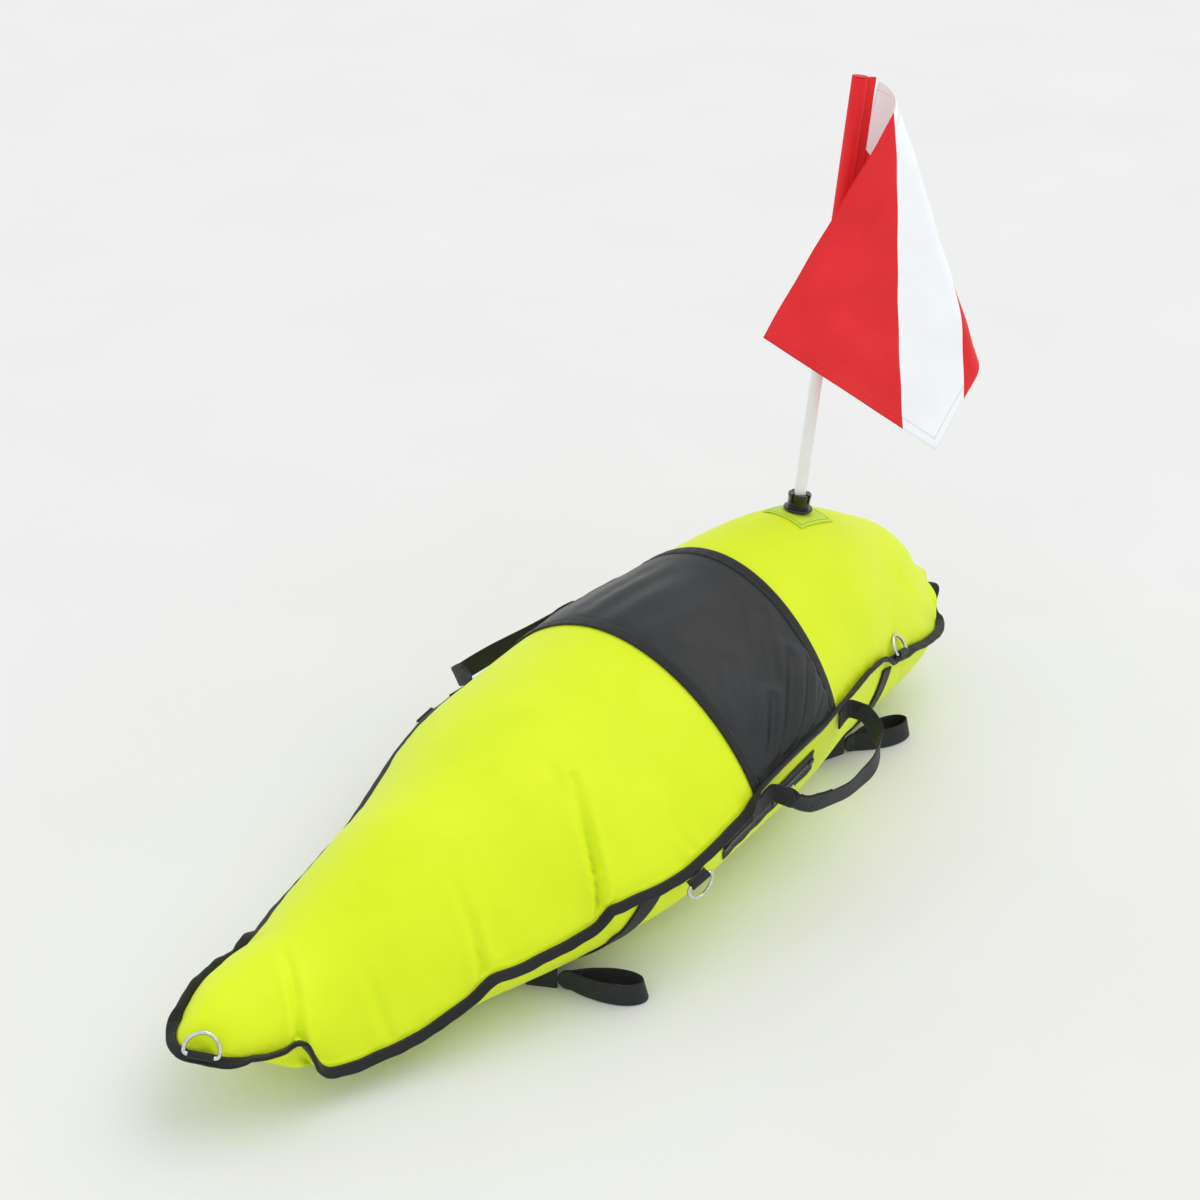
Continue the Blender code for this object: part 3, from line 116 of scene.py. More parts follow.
def unit(v):
    return v / np.maximum(1e-12, np.linalg.norm(v, axis=-1, keepdims=True))


def run_along(points):
    """Distance run along a path, at each of its points."""
    return np.concatenate([[0.0], np.cumsum(np.linalg.norm(np.diff(points, axis=0), axis=1))])


def hull_normal(s, angle, top=True):
    step = 0.004
    s, angle = np.broadcast_arrays(np.asarray(s, float), np.asarray(angle, float))
    ahead, behind = np.minimum(1.0, s + step), np.maximum(-1.0, s - step)
    normal = unit(np.cross(hull(ahead, angle, top) - hull(behind, angle, top),
                           hull(s, angle + step, top) - hull(s, angle - step, top)))
    middle = np.stack([s * HALF_LENGTH, 0 * s, seam_height(s)], -1)
    facing = (normal * (hull(s, angle, top) - middle)).sum(-1, keepdims=True)
    return normal * np.where(facing < 0, -1.0, 1.0)


def drop_angle(s, drop):
    """Angle on the lower panel at a distance below the seam."""
    return np.arccos(np.minimum(1.0, drop / belly_depth(s)) ** (1 / 0.80))


def rise_angle(s, rise):
    """Angle on the upper panel at a distance above the seam."""
    return np.arccos(np.minimum(1.0, rise / (crest_rise(s) * end_round(s))) ** (1 / top_fullness(s)))


def station(x):
    return x / HALF_LENGTH


# How far the sewn seam wanders up from its even line, at stations of the right and the left side
RIGHT_WANDER = ((-1.0, 0), (-0.97, 0), (-0.93, -0.004), (-0.90, 0), (-0.87, 0.009), (-0.852, 0.020),
                (-0.838, 0.008), (-0.825, -0.010), (-0.812, -0.017), (-0.76, -0.015), (-0.73, -0.011),
                (-0.69, -0.011), (-0.65, -0.009), (-0.60, -0.002), (-0.56, 0.003), (-0.52, 0.015),
                (-0.46, 0.007), (-0.38, 0.004), (-0.32, 0.005), (-0.306, 0.010), (-0.298, 0.020),
                (-0.27, 0.014), (-0.235, 0.012), (-0.18, 0.003), (-0.14, 0), (0.95, 0), (0.965, 0.006),
                (0.98, 0.026), (0.99, 0.038), (1.0, 0.034))
LEFT_WANDER = ((-1.0, 0), (-0.97, 0), (-0.95, 0.006), (-0.90, 0.015), (-0.83, 0.016), (-0.78, 0.008),
               (-0.70, 0.011), (-0.65, 0.013), (-0.60, 0.010), (-0.50, 0.005), (-0.40, 0), (0.95, 0),
               (0.97, 0.012), (0.985, 0.030), (1.0, 0.034))


class Seam:
    """Points along the seam with their directions: tangent, outward, up, and the drooping flange's."""

    def __init__(self, s, side):
        s, side = np.broadcast_arrays(np.asarray(s, float), np.asarray(side, float))
        step = np.minimum(0.002, (1 - np.abs(s)) / 2)
        origin = hull(s, side * math.pi / 2)
        tangent = hull(s + step, side * math.pi / 2) - hull(s - step, side * math.pi / 2)
        tip = step == 0
        tangent = unit(np.where(tip[..., None], (0.0, 1.0, 0.0), tangent))
        outward = unit(np.stack([-side * tangent[..., 1], side * tangent[..., 0], 0 * s], -1))
        end = np.stack([np.sign(s), 0 * s, 0 * s], -1)
        self.origin, self.tangent = origin, tangent
        self.outward = np.where(tip[..., None], end, outward)
        self.turn_flange(FLANGE_DROOP)

    def turn_flange(self, droop):
        up = np.cross(self.outward, self.tangent)
        self.up = up * np.where(up[..., 2:] < 0, -1.0, 1.0)
        cosine, sine = np.cos(droop)[..., None], np.sin(droop)[..., None]
        self.along = self.outward * cosine - self.up * sine
        self.across = self.up * cosine + self.outward * sine


# Droop of the flange in degrees at stations of each side: in places the cloth turns it up on edge
RIGHT_DROOP = ((-0.96, 35), (-0.925, -30), (-0.85, -36), (-0.825, 12), (-0.80, 35), (0.02, 35),
               (0.06, -38), (0.09, -64), (0.39, -62), (0.43, -50), (0.60, -46), (0.645, 30), (0.72, 30),
               (0.76, 5), (1.0, 0))
LEFT_DROOP = ((-1.0, 35), (-0.985, 20), (-0.955, -55), (-0.77, -62), (-0.735, -35), (-0.70, 30),
              (1.0, 30))
SEAM_STEPS = 560
side_stations = -np.cos(np.pi * np.arange(SEAM_STEPS + 1) / SEAM_STEPS)
loop_s = np.concatenate([side_stations, side_stations[-2:0:-1]])
loop_side = np.where(np.arange(len(loop_s)) <= SEAM_STEPS, RIGHT, LEFT)
seam = Seam(loop_s, loop_side)
seam_run = run_along(seam.origin)


def at_sides(right, left):
    """Values all round the seam, from a table for each side."""
    return np.where(loop_side == RIGHT, np.interp(loop_s, *np.array(right).T),
                    np.interp(loop_s, *np.array(left).T))


wander = at_sides(RIGHT_WANDER, LEFT_WANDER)
kernel = np.exp(-np.linspace(-2, 2, 9) ** 2)
wander = np.convolve(np.pad(wander, 4, "wrap"), kernel / kernel.sum(), "valid")
# Gathers round the tail, and a faint ripple elsewhere
GATHER_PITCH, GATHER_RISE, GATHER_REACH, GATHER_DRAW = 0.034, 0.004, 0.007, 0.004
RIPPLE = 0.0005
tail_share = np.clip((loop_s - 0.955) / 0.03, 0, 1)
scallop = np.sin(seam_run * math.tau / GATHER_PITCH + 0.6) * tail_share
ripple = RIPPLE * np.sin(seam_run * math.tau / 0.061) * np.sin(seam_run * math.tau / 0.31 + 1)
seam_shift = seam.up * (wander + ripple + GATHER_RISE * scallop)[:, None] * (0, 0, 1)
seam_shift += seam.outward * (GATHER_REACH * scallop - GATHER_DRAW * tail_share)[:, None]
seam_even = seam.origin.copy()
seam.origin = seam.origin + seam_shift
along_seam = np.roll(seam.origin, -1, 0) - np.roll(seam.origin, 1, 0)
keep = np.where((seam.tangent * along_seam).sum(-1, keepdims=True) < 0, -1.0, 1.0)
seam.tangent = unit(along_seam * keep)
seam.turn_flange(np.radians(at_sides(RIGHT_DROOP, LEFT_DROOP)))

# Folds: stations and angles in degrees that each follows, depth, width, height of its lip, and the
# share of the depth at its two ends
FOLDS = {
    True: (
        (((-0.215, -26), (-0.254, -43), (-0.278, -57.5), (-0.298, -74.5), (-0.305, -88)),
         0.0125, 0.0044, 0.0060, 0.25, 1.0),
        (((-0.232, -17), (-0.244, -31), (-0.266, -44), (-0.285, -60)), 0.0040, 0.0055, 0.0018, 0.2, 0.6),
        (((-0.497, -32), (-0.508, -49.6), (-0.523, -72), (-0.525, -86)), 0.0056, 0.0044, 0.0030, 0.15, 1.0),
        (((-0.440, -25), (-0.453, -40), (-0.468, -52), (-0.49, -70)), 0.0030, 0.0046, 0.0014, 0.2, 0.3),
        (((-0.118, -56), (-0.11, -63), (-0.103, -77)), 0.0028, 0.0038, 0.0014, 0.2, 0.8),
        (((-0.775, 4), (-0.795, -14), (-0.815, -31.6), (-0.838, -58), (-0.85, -84)),
         0.0090, 0.0046, 0.0040, 0.1, 1.0),
        (((-0.695, -30), (-0.697, -49), (-0.70, -66), (-0.70, -86)), 0.0034, 0.0050, 0.0018, 0.1, 0.8),
        (((-0.60, -58), (-0.59, -72), (-0.585, -88)), 0.0022, 0.0055, 0.0008, 0.1, 0.9),
        (((0.738, -30), (0.777, -51), (0.86, -72), (0.93, -82)), 0.0026, 0.0100, 0.0010, 0.1, 0.8),
        (((0.60, -40), (0.66, -56), (0.70, -78)), 0.0018, 0.0090, 0.0008, 0.2, 0.6),
        (((-0.74, 30), (-0.76, 50), (-0.80, 78)), 0.0050, 0.0080, 0.0016, 0.1, 1.0),
        (((-0.45, 40), (-0.46, 60), (-0.48, 84)), 0.0050, 0.0080, 0.0016, 0.1, 1.0),
        (((-0.20, 45), (-0.22, 62), (-0.24, 86)), 0.0055, 0.0070, 0.0020, 0.1, 1.0),
        (((0.62, 45), (0.66, 62), (0.70, 84)), 0.0050, 0.0080, 0.0018, 0.1, 1.0),
        (((0.985, -25), (0.93, -30), (0.88, -36)), 0.0040, 0.0080, 0.0016, 1.0, 0.1),
        (((0.985, 20), (0.93, 26), (0.87, 33)), 0.0040, 0.0080, 0.0016, 1.0, 0.1),
    ),
    False: (
        (((-0.815, -88), (-0.80, -70), (-0.78, -50)), 0.0040, 0.0060, 0.0014, 1.0, 0.1),
        (((-0.52, -88), (-0.50, -75), (-0.47, -60)), 0.0034, 0.0060, 0.0014, 1.0, 0.1),
        (((-0.30, -88), (-0.28, -76), (-0.25, -62)), 0.0040, 0.0060, 0.0014, 1.0, 0.1),
        (((0.72, -88), (0.74, -74), (0.77, -58)), 0.0034, 0.0070, 0.0014, 1.0, 0.1),
        (((-0.60, 88), (-0.58, 74), (-0.55, 58)), 0.0034, 0.0070, 0.0014, 1.0, 0.1),
        (((0.35, 88), (0.36, 76), (0.38, 64)), 0.0030, 0.0070, 0.0010, 1.0, 0.1),
    ),
}


def fold_relief(points, top):
    """Height of the cloth over the even shape from the folds of one panel."""
    total = np.zeros(len(points))
    for path, deep, wide, lip, start_share, end_share in FOLDS[top]:
        s, degrees = np.array(path).T
        line = hull(s, np.radians(degrees), top)
        best = np.full(len(points), 1e9)
        signed, share = np.zeros(len(points)), np.zeros(len(points))
        ends = run_along(line)
        for k, (a, b) in enumerate(zip(line, line[1:])):
            run = b - a
            t = np.clip(((points - a) @ run) / (run @ run), 0, 1)
            away = points - (a + t[:, None] * run)
            distance = np.linalg.norm(away, axis=1)
            nearer = distance < best
            best = np.where(nearer, distance, best)
            normal = hull_normal(s[k], math.radians(degrees[k]), top)
            signed = np.where(nearer, distance * np.sign(away @ np.cross(normal, run)), signed)
            share = np.where(nearer, (ends[k] + t * (ends[k + 1] - ends[k])) / ends[-1], share)
        strength = start_share + (end_share - start_share) * share
        valley = np.exp(-(signed / wide) ** 2)
        lips = np.exp(-((np.abs(signed) - 2.1 * wide) / (1.3 * wide)) ** 2)
        total += strength * (lip * lips - deep * valley)
    return total


# The lower panel swells out below the notch in the right seam, and it lies hollow beside the front
# rings, which swing there
SWELL_STATION, SWELL_LENGTH, SWELL_DROP, SWELL_WIDTH, SWELL_HEIGHT = -0.858, 0.036, 0.031, 0.015, 0.028
FRONT_RING_X, HOLLOW_DEPTH, HOLLOW_LENGTH, HOLLOW_DROP, HOLLOW_WIDTH = -0.070, 0.0045, 0.026, 0.026, 0.020
PUCKER_HEIGHT, SLACK_HEIGHT = 0.0013, 0.0011
POINTS_AT_ONCE = 1500


def nearest_seam(points):
    """Distance to the even seam, the seam's shift there, and how far round the seam it is."""
    distance, shift, run = [], [], []
    for part in np.array_split(points, max(1, len(points) // POINTS_AT_ONCE)):
        squared = ((part[:, None, :] - seam_even[None]) ** 2).sum(-1)
        least = squared.min(1)
        spread = 0.004 + 0.35 * np.sqrt(least)
        weight = np.exp(-(squared - least[:, None]) / spread[:, None] ** 2)
        shift.append(weight @ seam_shift / weight.sum(1)[:, None])
        distance.append(np.sqrt(least))
        run.append(seam_run[squared.argmin(1)])
    return np.concatenate(distance), np.concatenate(shift), np.concatenate(run)


def cover_points(s, angle, top=True, lift=0.0):
    """Points of the finished cover, folds and puckers in it, raised by a lift along the normal."""
    s, angle = np.broadcast_arrays(np.asarray(s, float), np.asarray(angle, float))
    even = hull(s, angle, top).reshape(-1, 3)
    normal = hull_normal(s, angle, top).reshape(-1, 3)
    distance, shift, run = nearest_seam(even)
    fade = np.exp(-(distance / (0.062 if top else 0.038)) ** 2)
    at_seam = 1 - np.exp(-(distance / 0.003) ** 2)
    pucker = np.sin(run * math.tau / 0.023 + 2 * np.sin(run * 31)) * (0.6 + 0.4 * np.sin(run * 19 + 2))
    x, y, z = even.T
    slack = np.sin(23 * x + 9 * y) * np.sin(17 * y - 11 * x + 1) + 0.5 * np.sin(41 * x - 30 * z)
    relief = fold_relief(even, top) + PUCKER_HEIGHT * pucker * np.exp(-distance / 0.016)
    relief += SLACK_HEIGHT * slack
    at = s.reshape(-1)
    if top:
        tail = np.clip((at - 0.90) / 0.08, 0, 1) * np.exp(-((distance - 0.014) / 0.014) ** 2)
        relief += tail * (0.007 - 0.006 * np.sin(run * math.tau / GATHER_PITCH + 0.6))
    else:
        relief -= HOLLOW_DEPTH * np.exp(-((x - FRONT_RING_X) / HOLLOW_LENGTH) ** 4
                                        - ((distance - HOLLOW_DROP) / HOLLOW_WIDTH) ** 4)
    points = even + shift * fade[:, None] + normal * (relief * at_seam + lift)[:, None]
    if not top:
        swell = np.exp(-((at - SWELL_STATION) / SWELL_LENGTH) ** 2
                       - ((distance - SWELL_DROP) / SWELL_WIDTH) ** 2)
        points[:, 1] -= SWELL_HEIGHT * swell * (angle.reshape(-1) < 0)
        points[:, 2] = np.maximum(points[:, 2], 0.0004)
    return points.reshape(s.shape + (3,)), normal.reshape(s.shape + (3,))


def add_object(name, data):
    made = bpy.data.objects.new(name, data)
    bpy.context.scene.collection.objects.link(made)
    return made


def mesh_piece(name, verts, faces, uv=None, smooth=True):
    """Plain mesh object; uv gives each vertex its place on the flat material, in metres."""
    mesh = bpy.data.meshes.new(name)
    mesh.from_pydata([tuple(map(float, v)) for v in verts], [], [tuple(map(int, f)) for f in faces])
    if uv is not None:
        layer = mesh.uv_layers.new(name="flat")
        order = np.empty(len(mesh.loops), dtype=np.int32)
        mesh.loops.foreach_get("vertex_index", order)
        layer.data.foreach_set("uv", np.asarray(uv, dtype=np.float32)[order].ravel())
    if smooth:
        mesh.shade_smooth()
    return add_object(name, mesh)


def band_faces(size, count, closed=False):
    """Quads between rings of points that follow one another: size points in each of count rings."""
    pairs = [(i, (i + 1) % count) for i in range(count if closed else count - 1)]
    return [(size * i + k, size * i + (k + 1) % size, size * j + (k + 1) % size, size * j + k)
            for i, j in pairs for k in range(size)]


def grid_faces(rows, columns, start=0):
    """Quads over a grid of points that is numbered row by row from a start."""
    firsts = [start + i * columns + j for i in range(rows - 1) for j in range(columns - 1)]
    return [(a, a + columns, a + columns + 1, a + 1) for a in firsts]


def turn_outward(piece):
    """Faces of a closed mesh turned to its outside."""
    work = bmesh.new()
    work.from_mesh(piece.data)
    bmesh.ops.recalc_face_normals(work, faces=work.faces)
    if work.calc_volume(signed=True) < 0:
        bmesh.ops.reverse_faces(work, faces=work.faces)
    work.to_mesh(piece.data)
    work.free()
    return piece


def finish_piece(piece, material, body, slot, *nodes):
    """Give a piece its material, the nodes it stands for and the body it moves with; the slot is not used."""
    if material is not None:
        piece.data.materials.clear()
        piece.data.materials.append(material)
    if nodes:
        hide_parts(*nodes)
    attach(piece, body)
    return piece


class Look:
    """Material under construction: a Principled shader and short calls to wire nodes to it."""

    def __init__(self, name, roughness, metallic=0.0, **sockets):
        self.material = bpy.data.materials.new(name)
        self.material.use_nodes = True
        self.tree = self.material.node_tree
        self.shader = self.tree.nodes["Principled BSDF"]
        self.solid = wire(self.tree, "ShaderNodeTexCoord").outputs["Object"]
        self.set(Roughness=roughness, Metallic=metallic)
        for key, value in sockets.items():
            self.shader.inputs[key.replace("_", " ")].default_value = value

    def set(self, **values):
        for key, value in values.items():
            socket = self.shader.inputs[key.replace("_", " ")]
            if isinstance(value, bpy.types.NodeSocket):
                self.tree.links.new(value, socket)
            else:
                socket.default_value = value

    def noise(self, scale, detail, **settings):
        """Noise from 0 to 1, over the piece's own coordinates unless another Vector is given."""
        settings = {"Vector": self.solid, "Scale": scale, "Detail": detail, **settings}
        return wire(self.tree, "ShaderNodeTexNoise", **settings).outputs["Fac"]

    def bump(self, height, distance, strength=1.0, over=None):
        node = wire(self.tree, "ShaderNodeBump", Height=height, Distance=distance, Strength=strength)
        if over is not None:
            self.tree.links.new(over, node.inputs["Normal"])
        return node.outputs["Normal"]


def wire(tree, kind, *inputs, **named):
    """Node whose inputs are values or other nodes' sockets; lower-case names are its settings."""
    node = tree.nodes.new(kind)
    for key, value in list(named.items()):
        if key[0].islower():
            setattr(node, key, value)
            del named[key]
    pairs = list(enumerate(inputs)) + [(key.replace("_", " "), value) for key, value in named.items()]
    for key, value in pairs:
        if value is None:
            continue
        if isinstance(value, bpy.types.NodeSocket):
            tree.links.new(value, node.inputs[key])
        else:
            node.inputs[key].default_value = value
    return node


def maths(tree, operation, *values):
    return wire(tree, "ShaderNodeMath", *values, operation=operation).outputs[0]


def ramp(tree, value, *stops):
    """Colours or greys spread over a value from 0 to 1."""
    node = wire(tree, "ShaderNodeValToRGB", value)
    bar = node.color_ramp.elements
    while len(bar) < len(stops):
        bar.new(0.5)
    for element, (position, colour) in zip(bar, stops):
        element.position = position
        element.color = colour if hasattr(colour, "__len__") else (colour, colour, colour, 1)
    return node.outputs["Color"]


def effect(name, outputs, **inputs):
    """Empty shader group with value inputs, a Vector place first, and float outputs."""
    group = bpy.data.node_groups.new(name, "ShaderNodeTree")
    group.interface.new_socket("Place", in_out="INPUT", socket_type="NodeSocketVector")
    for key, value in inputs.items():
        socket = group.interface.new_socket(key.replace("_", " "), in_out="INPUT",
                                            socket_type="NodeSocketFloat")
        socket.default_value = value
    for key in outputs:
        group.interface.new_socket(key, in_out="OUTPUT", socket_type="NodeSocketFloat")
    return group, group.nodes.new("NodeGroupInput").outputs, group.nodes.new("NodeGroupOutput").inputs


# Weave of over and under threads: how high the thread stands, and the gaps between threads, which the cloth
# materials darken as painted shade
weave_group, given, put = effect("weave", ("Height", "Gap"), Threads_per_metre=1800.0)
place = wire(weave_group, "ShaderNodeVectorMath", given["Place"], operation="SCALE",
             Scale=given["Threads per metre"]).outputs[0]
split = wire(weave_group, "ShaderNodeSeparateXYZ", place).outputs
warp = maths(weave_group, "SINE", maths(weave_group, "MULTIPLY", split["X"], math.pi))
weft = maths(weave_group, "SINE", maths(weave_group, "MULTIPLY", split["Y"], math.pi))
over = maths(weave_group, "MULTIPLY", warp, weft)
round_warp, round_weft = maths(weave_group, "ABSOLUTE", warp), maths(weave_group, "ABSOLUTE", weft)
highest = maths(weave_group, "MAXIMUM", round_warp, round_weft)
yarn_height = maths(weave_group, "MULTIPLY_ADD", over, 0.35, maths(weave_group, "MULTIPLY", highest, 0.65))
weave_group.links.new(yarn_height, put["Height"])
weave_group.links.new(maths(weave_group, "SUBTRACT", 1.0, highest), put["Gap"])


def apply_effect(tree, group, place, **values):
    node = tree.nodes.new("ShaderNodeGroup")
    node.node_tree = group
    tree.links.new(place, node.inputs["Place"])
    for key, value in values.items():
        node.inputs[key.replace("_", " ")].default_value = value
    return node.outputs


def coated_cloth(name, stops, roughness, sheen):
    """Close weave under a thin coating, with the soft cloudiness that handling leaves, and painted shade
    between threads.
    """
    look = Look(name, roughness, Sheen_Weight=sheen, Sheen_Roughness=0.45, Coat_Roughness=0.35,
                Specular_IOR_Level=0.32)
    tree = look.tree
    flat = wire(tree, "ShaderNodeUVMap", uv_map="flat").outputs[0]
    weave = apply_effect(tree, weave_group, flat, Threads_per_metre=1700.0)
    clouds = look.noise(14.0, 5.0, Roughness=0.55)
    creases = look.noise(60.0, 6.0, Roughness=0.65, Distortion=0.8)
    # painted shade: the colour darkens in the gaps between threads
    tone = maths(tree, "MULTIPLY_ADD", weave["Gap"], -0.30, clouds)
    look.set(Base_Color=ramp(tree, tone, *stops))
    look.set(Roughness=maths(tree, "MULTIPLY_ADD", creases, 0.22, roughness - 0.11))
    look.set(Coat_Weight=maths(tree, "MULTIPLY_ADD", clouds, 0.12, 0.0))
    fine = look.bump(weave["Height"], 0.00012, 0.6)
    look.set(Normal=look.bump(creases, 0.0009, 0.35, over=fine))
    return look.material


yellow_cloth = coated_cloth("yellow coated nylon", ((0.25, (0.745, 0.925, 0.004, 1)),
                                                    (0.50, (0.790, 0.950, 0.006, 1)),
                                                    (0.80, (0.830, 0.960, 0.012, 1))), 0.52, 0.04)

PANEL_ROWS, PANEL_COLUMNS = 350, 128


def panel_mesh(name, top):
    """Closed shell of one panel: outer face, inner face, and the flange that the binding hides."""
    rows = -np.cos(np.pi * np.arange(1, PANEL_ROWS) / PANEL_ROWS)
    turns = np.pi * (np.arange(PANEL_COLUMNS + 1) / PANEL_COLUMNS - 0.5)
    s, angle = np.meshgrid(rows, turns, indexing="ij")
    facing = 1 if top else -1
    pick = np.searchsorted(side_stations, rows)
    rim = np.concatenate([[0], pick, [SEAM_STEPS], (len(loop_s) - pick[::-1])])
    skip = 1e-6
    verts, uv = [], []
    for lift in (SKIN_LIFT, SKIN_LIFT - CLOTH):
        body, _ = cover_points(s, angle, top, lift)
        tips, _ = cover_points(np.array((-1.0, 1.0)) * (1 - skip), np.zeros(2), top, lift)
        edge = seam.origin[rim] + seam.along[rim] * FLANGE_WIDTH + seam.across[rim] * facing * lift
        start = len(verts)
        flat = np.stack([s * HALF_LENGTH, half_width(s) * angle], -1).reshape(-1, 2)
        verts += [*body.reshape(-1, 3), *tips, *edge]
        uv += [*flat, (-HALF_LENGTH, 0), (HALF_LENGTH, 0), *(seam.origin[rim, :2] * 1.03)]
    layer = len(verts) // 2
    wide, count = PANEL_COLUMNS + 1, len(rows)
    nose, tail = count * wide, count * wide + 1
    quads = grid_faces(count, wide)
    quads += [(nose, j, j + 1) for j in range(PANEL_COLUMNS)]
    quads += [((count - 1) * wide + j, tail, (count - 1) * wide + j + 1) for j in range(PANEL_COLUMNS)]
    border = [nose] + [i * wide for i in range(count)] + [tail]
    border += [i * wide + PANEL_COLUMNS for i in reversed(range(count))]
    hem = [tail + 1 + k for k in range(len(border))]
    ring = list(zip(range(len(border)), [*range(1, len(border)), 0]))
    quads += [(border[a], border[b], hem[b], hem[a]) for a, b in ring]
    faces = quads + [tuple(layer + k for k in reversed(q)) for q in quads]
    faces += [(hem[a], hem[b], layer + hem[b], layer + hem[a]) for a, b in ring]
    return turn_outward(mesh_piece(name, verts, faces, uv))


cover_upper = finish_piece(panel_mesh("upper_cover", True), yellow_cloth, "hull", "yellow_cloth", "cover_top")
cover_lower = finish_piece(panel_mesh("lower_cover", False), yellow_cloth, "hull", "yellow_cloth",
                           "cover_bottom")

# Seam binding
# Black woven polyester tape, 25 mm wide, folded over both panels' edges all round the float and
# sewn through with one row of black thread, so it stands as a ridge that droops a little.

GAP = 0.0003
TAPE = 0.0010
BINDING_REACH = FLANGE_WIDTH + GAP + TAPE
BINDING_HALF = 0.00015 + CLOTH + GAP + TAPE
BINDING_START = (BINDING_HALF * math.sin(FLANGE_DROOP) + 2 * GAP) / math.cos(FLANGE_DROOP)


def webbing_cloth(name, colour, dusty, rib_pitch, roughness):
    """Ribbed weave: ribs run along the strip, slanting threads cross them, painted shade darkens the grooves,
    wear pales patches.
    """
    look = Look(name, roughness, Sheen_Weight=0.08, Sheen_Roughness=0.5, Specular_IOR_Level=0.35)
    tree = look.tree
    flat = wire(tree, "ShaderNodeUVMap", uv_map="flat").outputs[0]
    split = wire(tree, "ShaderNodeSeparateXYZ", flat).outputs
    rib = maths(tree, "ABSOLUTE", maths(tree, "SINE", maths(tree, "MULTIPLY", split["Y"],
                                                            math.pi / rib_pitch)))
    slant = maths(tree, "MULTIPLY_ADD", rib, 0.35 * rib_pitch, split["X"])
    thread = maths(tree, "ABSOLUTE", maths(tree, "SINE", maths(tree, "MULTIPLY", slant,
                                                               math.pi / (0.62 * rib_pitch))))
    height = maths(tree, "MULTIPLY_ADD", thread, 0.35, maths(tree, "MULTIPLY", rib, 0.65))
    wear = look.noise(38.0, 6.0, Roughness=0.7)
    # painted shade: the colour darkens where rib and thread height is low; the wear noise pales random
    # patches
    tone = maths(tree, "MULTIPLY_ADD", height, 0.45, maths(tree, "MULTIPLY", wear, 0.6))
    look.set(Base_Color=ramp(tree, tone, (0.20, (*(0.45 * c for c in colour), 1)), (0.62, (*colour, 1)),
                             (0.95, (*dusty, 1))))
    look.set(Roughness=maths(tree, "MULTIPLY_ADD", wear, 0.25, roughness - 0.12))
    ribbed = look.bump(height, 0.00035, 0.8)
    look.set(Normal=look.bump(wear, 0.0006, 0.3, over=ribbed))
    return look.material


black_tape = webbing_cloth("black binding tape", (0.007, 0.008, 0.009), (0.022, 0.025, 0.027), 0.0016, 0.62)

# Section of the folded tape: (reach down the flange, rise across it), outside then inside
FOLD_TURNS = [math.radians(90 - 18 * k) for k in range(11)]
corner = BINDING_REACH - BINDING_HALF
tape_section = [(BINDING_START, BINDING_HALF - 0.0004), (BINDING_START + 0.0009, BINDING_HALF + 0.0002),
                (0.0050, BINDING_HALF + 0.0004), (0.0088, BINDING_HALF + 0.0001)]
tape_section += [(corner + BINDING_HALF * math.cos(t), BINDING_HALF * math.sin(t)) for t in FOLD_TURNS]
tape_section += [(x, -y) for x, y in reversed(tape_section[:4])]
slot_half = BINDING_HALF - TAPE
tape_section += [(BINDING_START, -slot_half), (FLANGE_WIDTH + GAP, -slot_half),
                 (FLANGE_WIDTH + GAP, slot_half), (BINDING_START, slot_half)]
section = np.array(tape_section)
around = run_along(section)
binding_run = run_along(seam.origin)
uneven = 1 + 0.03 * np.sin(binding_run * math.tau / 0.083) * np.sin(binding_run * math.tau / 0.031 + 1)
swell = 0.0001 * np.sin(binding_run * math.tau / 0.0072)
reach = section[None, :, 0] * np.where(section[:, 0] > 0.007, uneven[:, None], 1)
lift = section[None, :, 1] * (1 + 0.05 * np.sin(binding_run * math.tau / 0.023))[:, None]
tape_points = seam.origin[:, None] + seam.along[:, None] * reach[..., None]
tape_points = tape_points + seam.across[:, None] * lift[..., None]
count, size = tape_points.shape[:2]
tape_verts = np.concatenate([tape_points, tape_points[:1]]).reshape(-1, 3)
tape_uv = np.stack(np.meshgrid(np.append(binding_run, binding_run[-1] + 0.001), around, indexing="ij"), -1)
binding = mesh_piece("seam_binding", tape_verts, band_faces(size, count + 1), tape_uv.reshape(-1, 2))


def merge_points(piece, distance):
    """Points of a mesh that meet within a distance, made one."""
    work = bmesh.new()
    work.from_mesh(piece.data)
    bmesh.ops.remove_doubles(work, verts=work.verts, dist=distance)
    work.to_mesh(piece.data)
    work.free()
    return piece


finish_piece(turn_outward(merge_points(binding, 1e-7)), black_tape, "hull", "black_webbing", "edge_binding")


def thread_material(name, colour):
    """Twisted sewing thread, with painted shade darkening the grooves of the twist."""
    look = Look(name, 0.6, Sheen_Weight=0.3)
    tree = look.tree
    twist = wire(tree, "ShaderNodeTexWave", Vector=look.solid, Scale=900.0, Distortion=1.5,
                 Detail=2.0).outputs["Fac"]
    # painted shade: the colour darkens where the twist is low
    look.set(Base_Color=ramp(tree, twist, (0.1, (*(0.6 * c for c in colour), 1)), (0.9, (*colour, 1))))
    look.set(Roughness=maths(tree, "MULTIPLY_ADD", twist, 0.2, 0.5), Normal=look.bump(twist, 0.0001, 0.7))
    return look.material


black_thread = thread_material("black thread", (0.075, 0.078, 0.085))


def shape_tree(name, made, **inputs):
    """Empty Geometry Nodes tree with named inputs and one geometry output, and the ends to wire to."""
    group = bpy.data.node_groups.new(name, "GeometryNodeTree")
    for key, kind in inputs.items():
        group.interface.new_socket(key, in_out="INPUT", socket_type="NodeSocket" + kind)
    group.interface.new_socket(made, in_out="OUTPUT", socket_type="NodeSocketGeometry")
    return group, group.nodes.new("NodeGroupInput").outputs, group.nodes.new("NodeGroupOutput").inputs


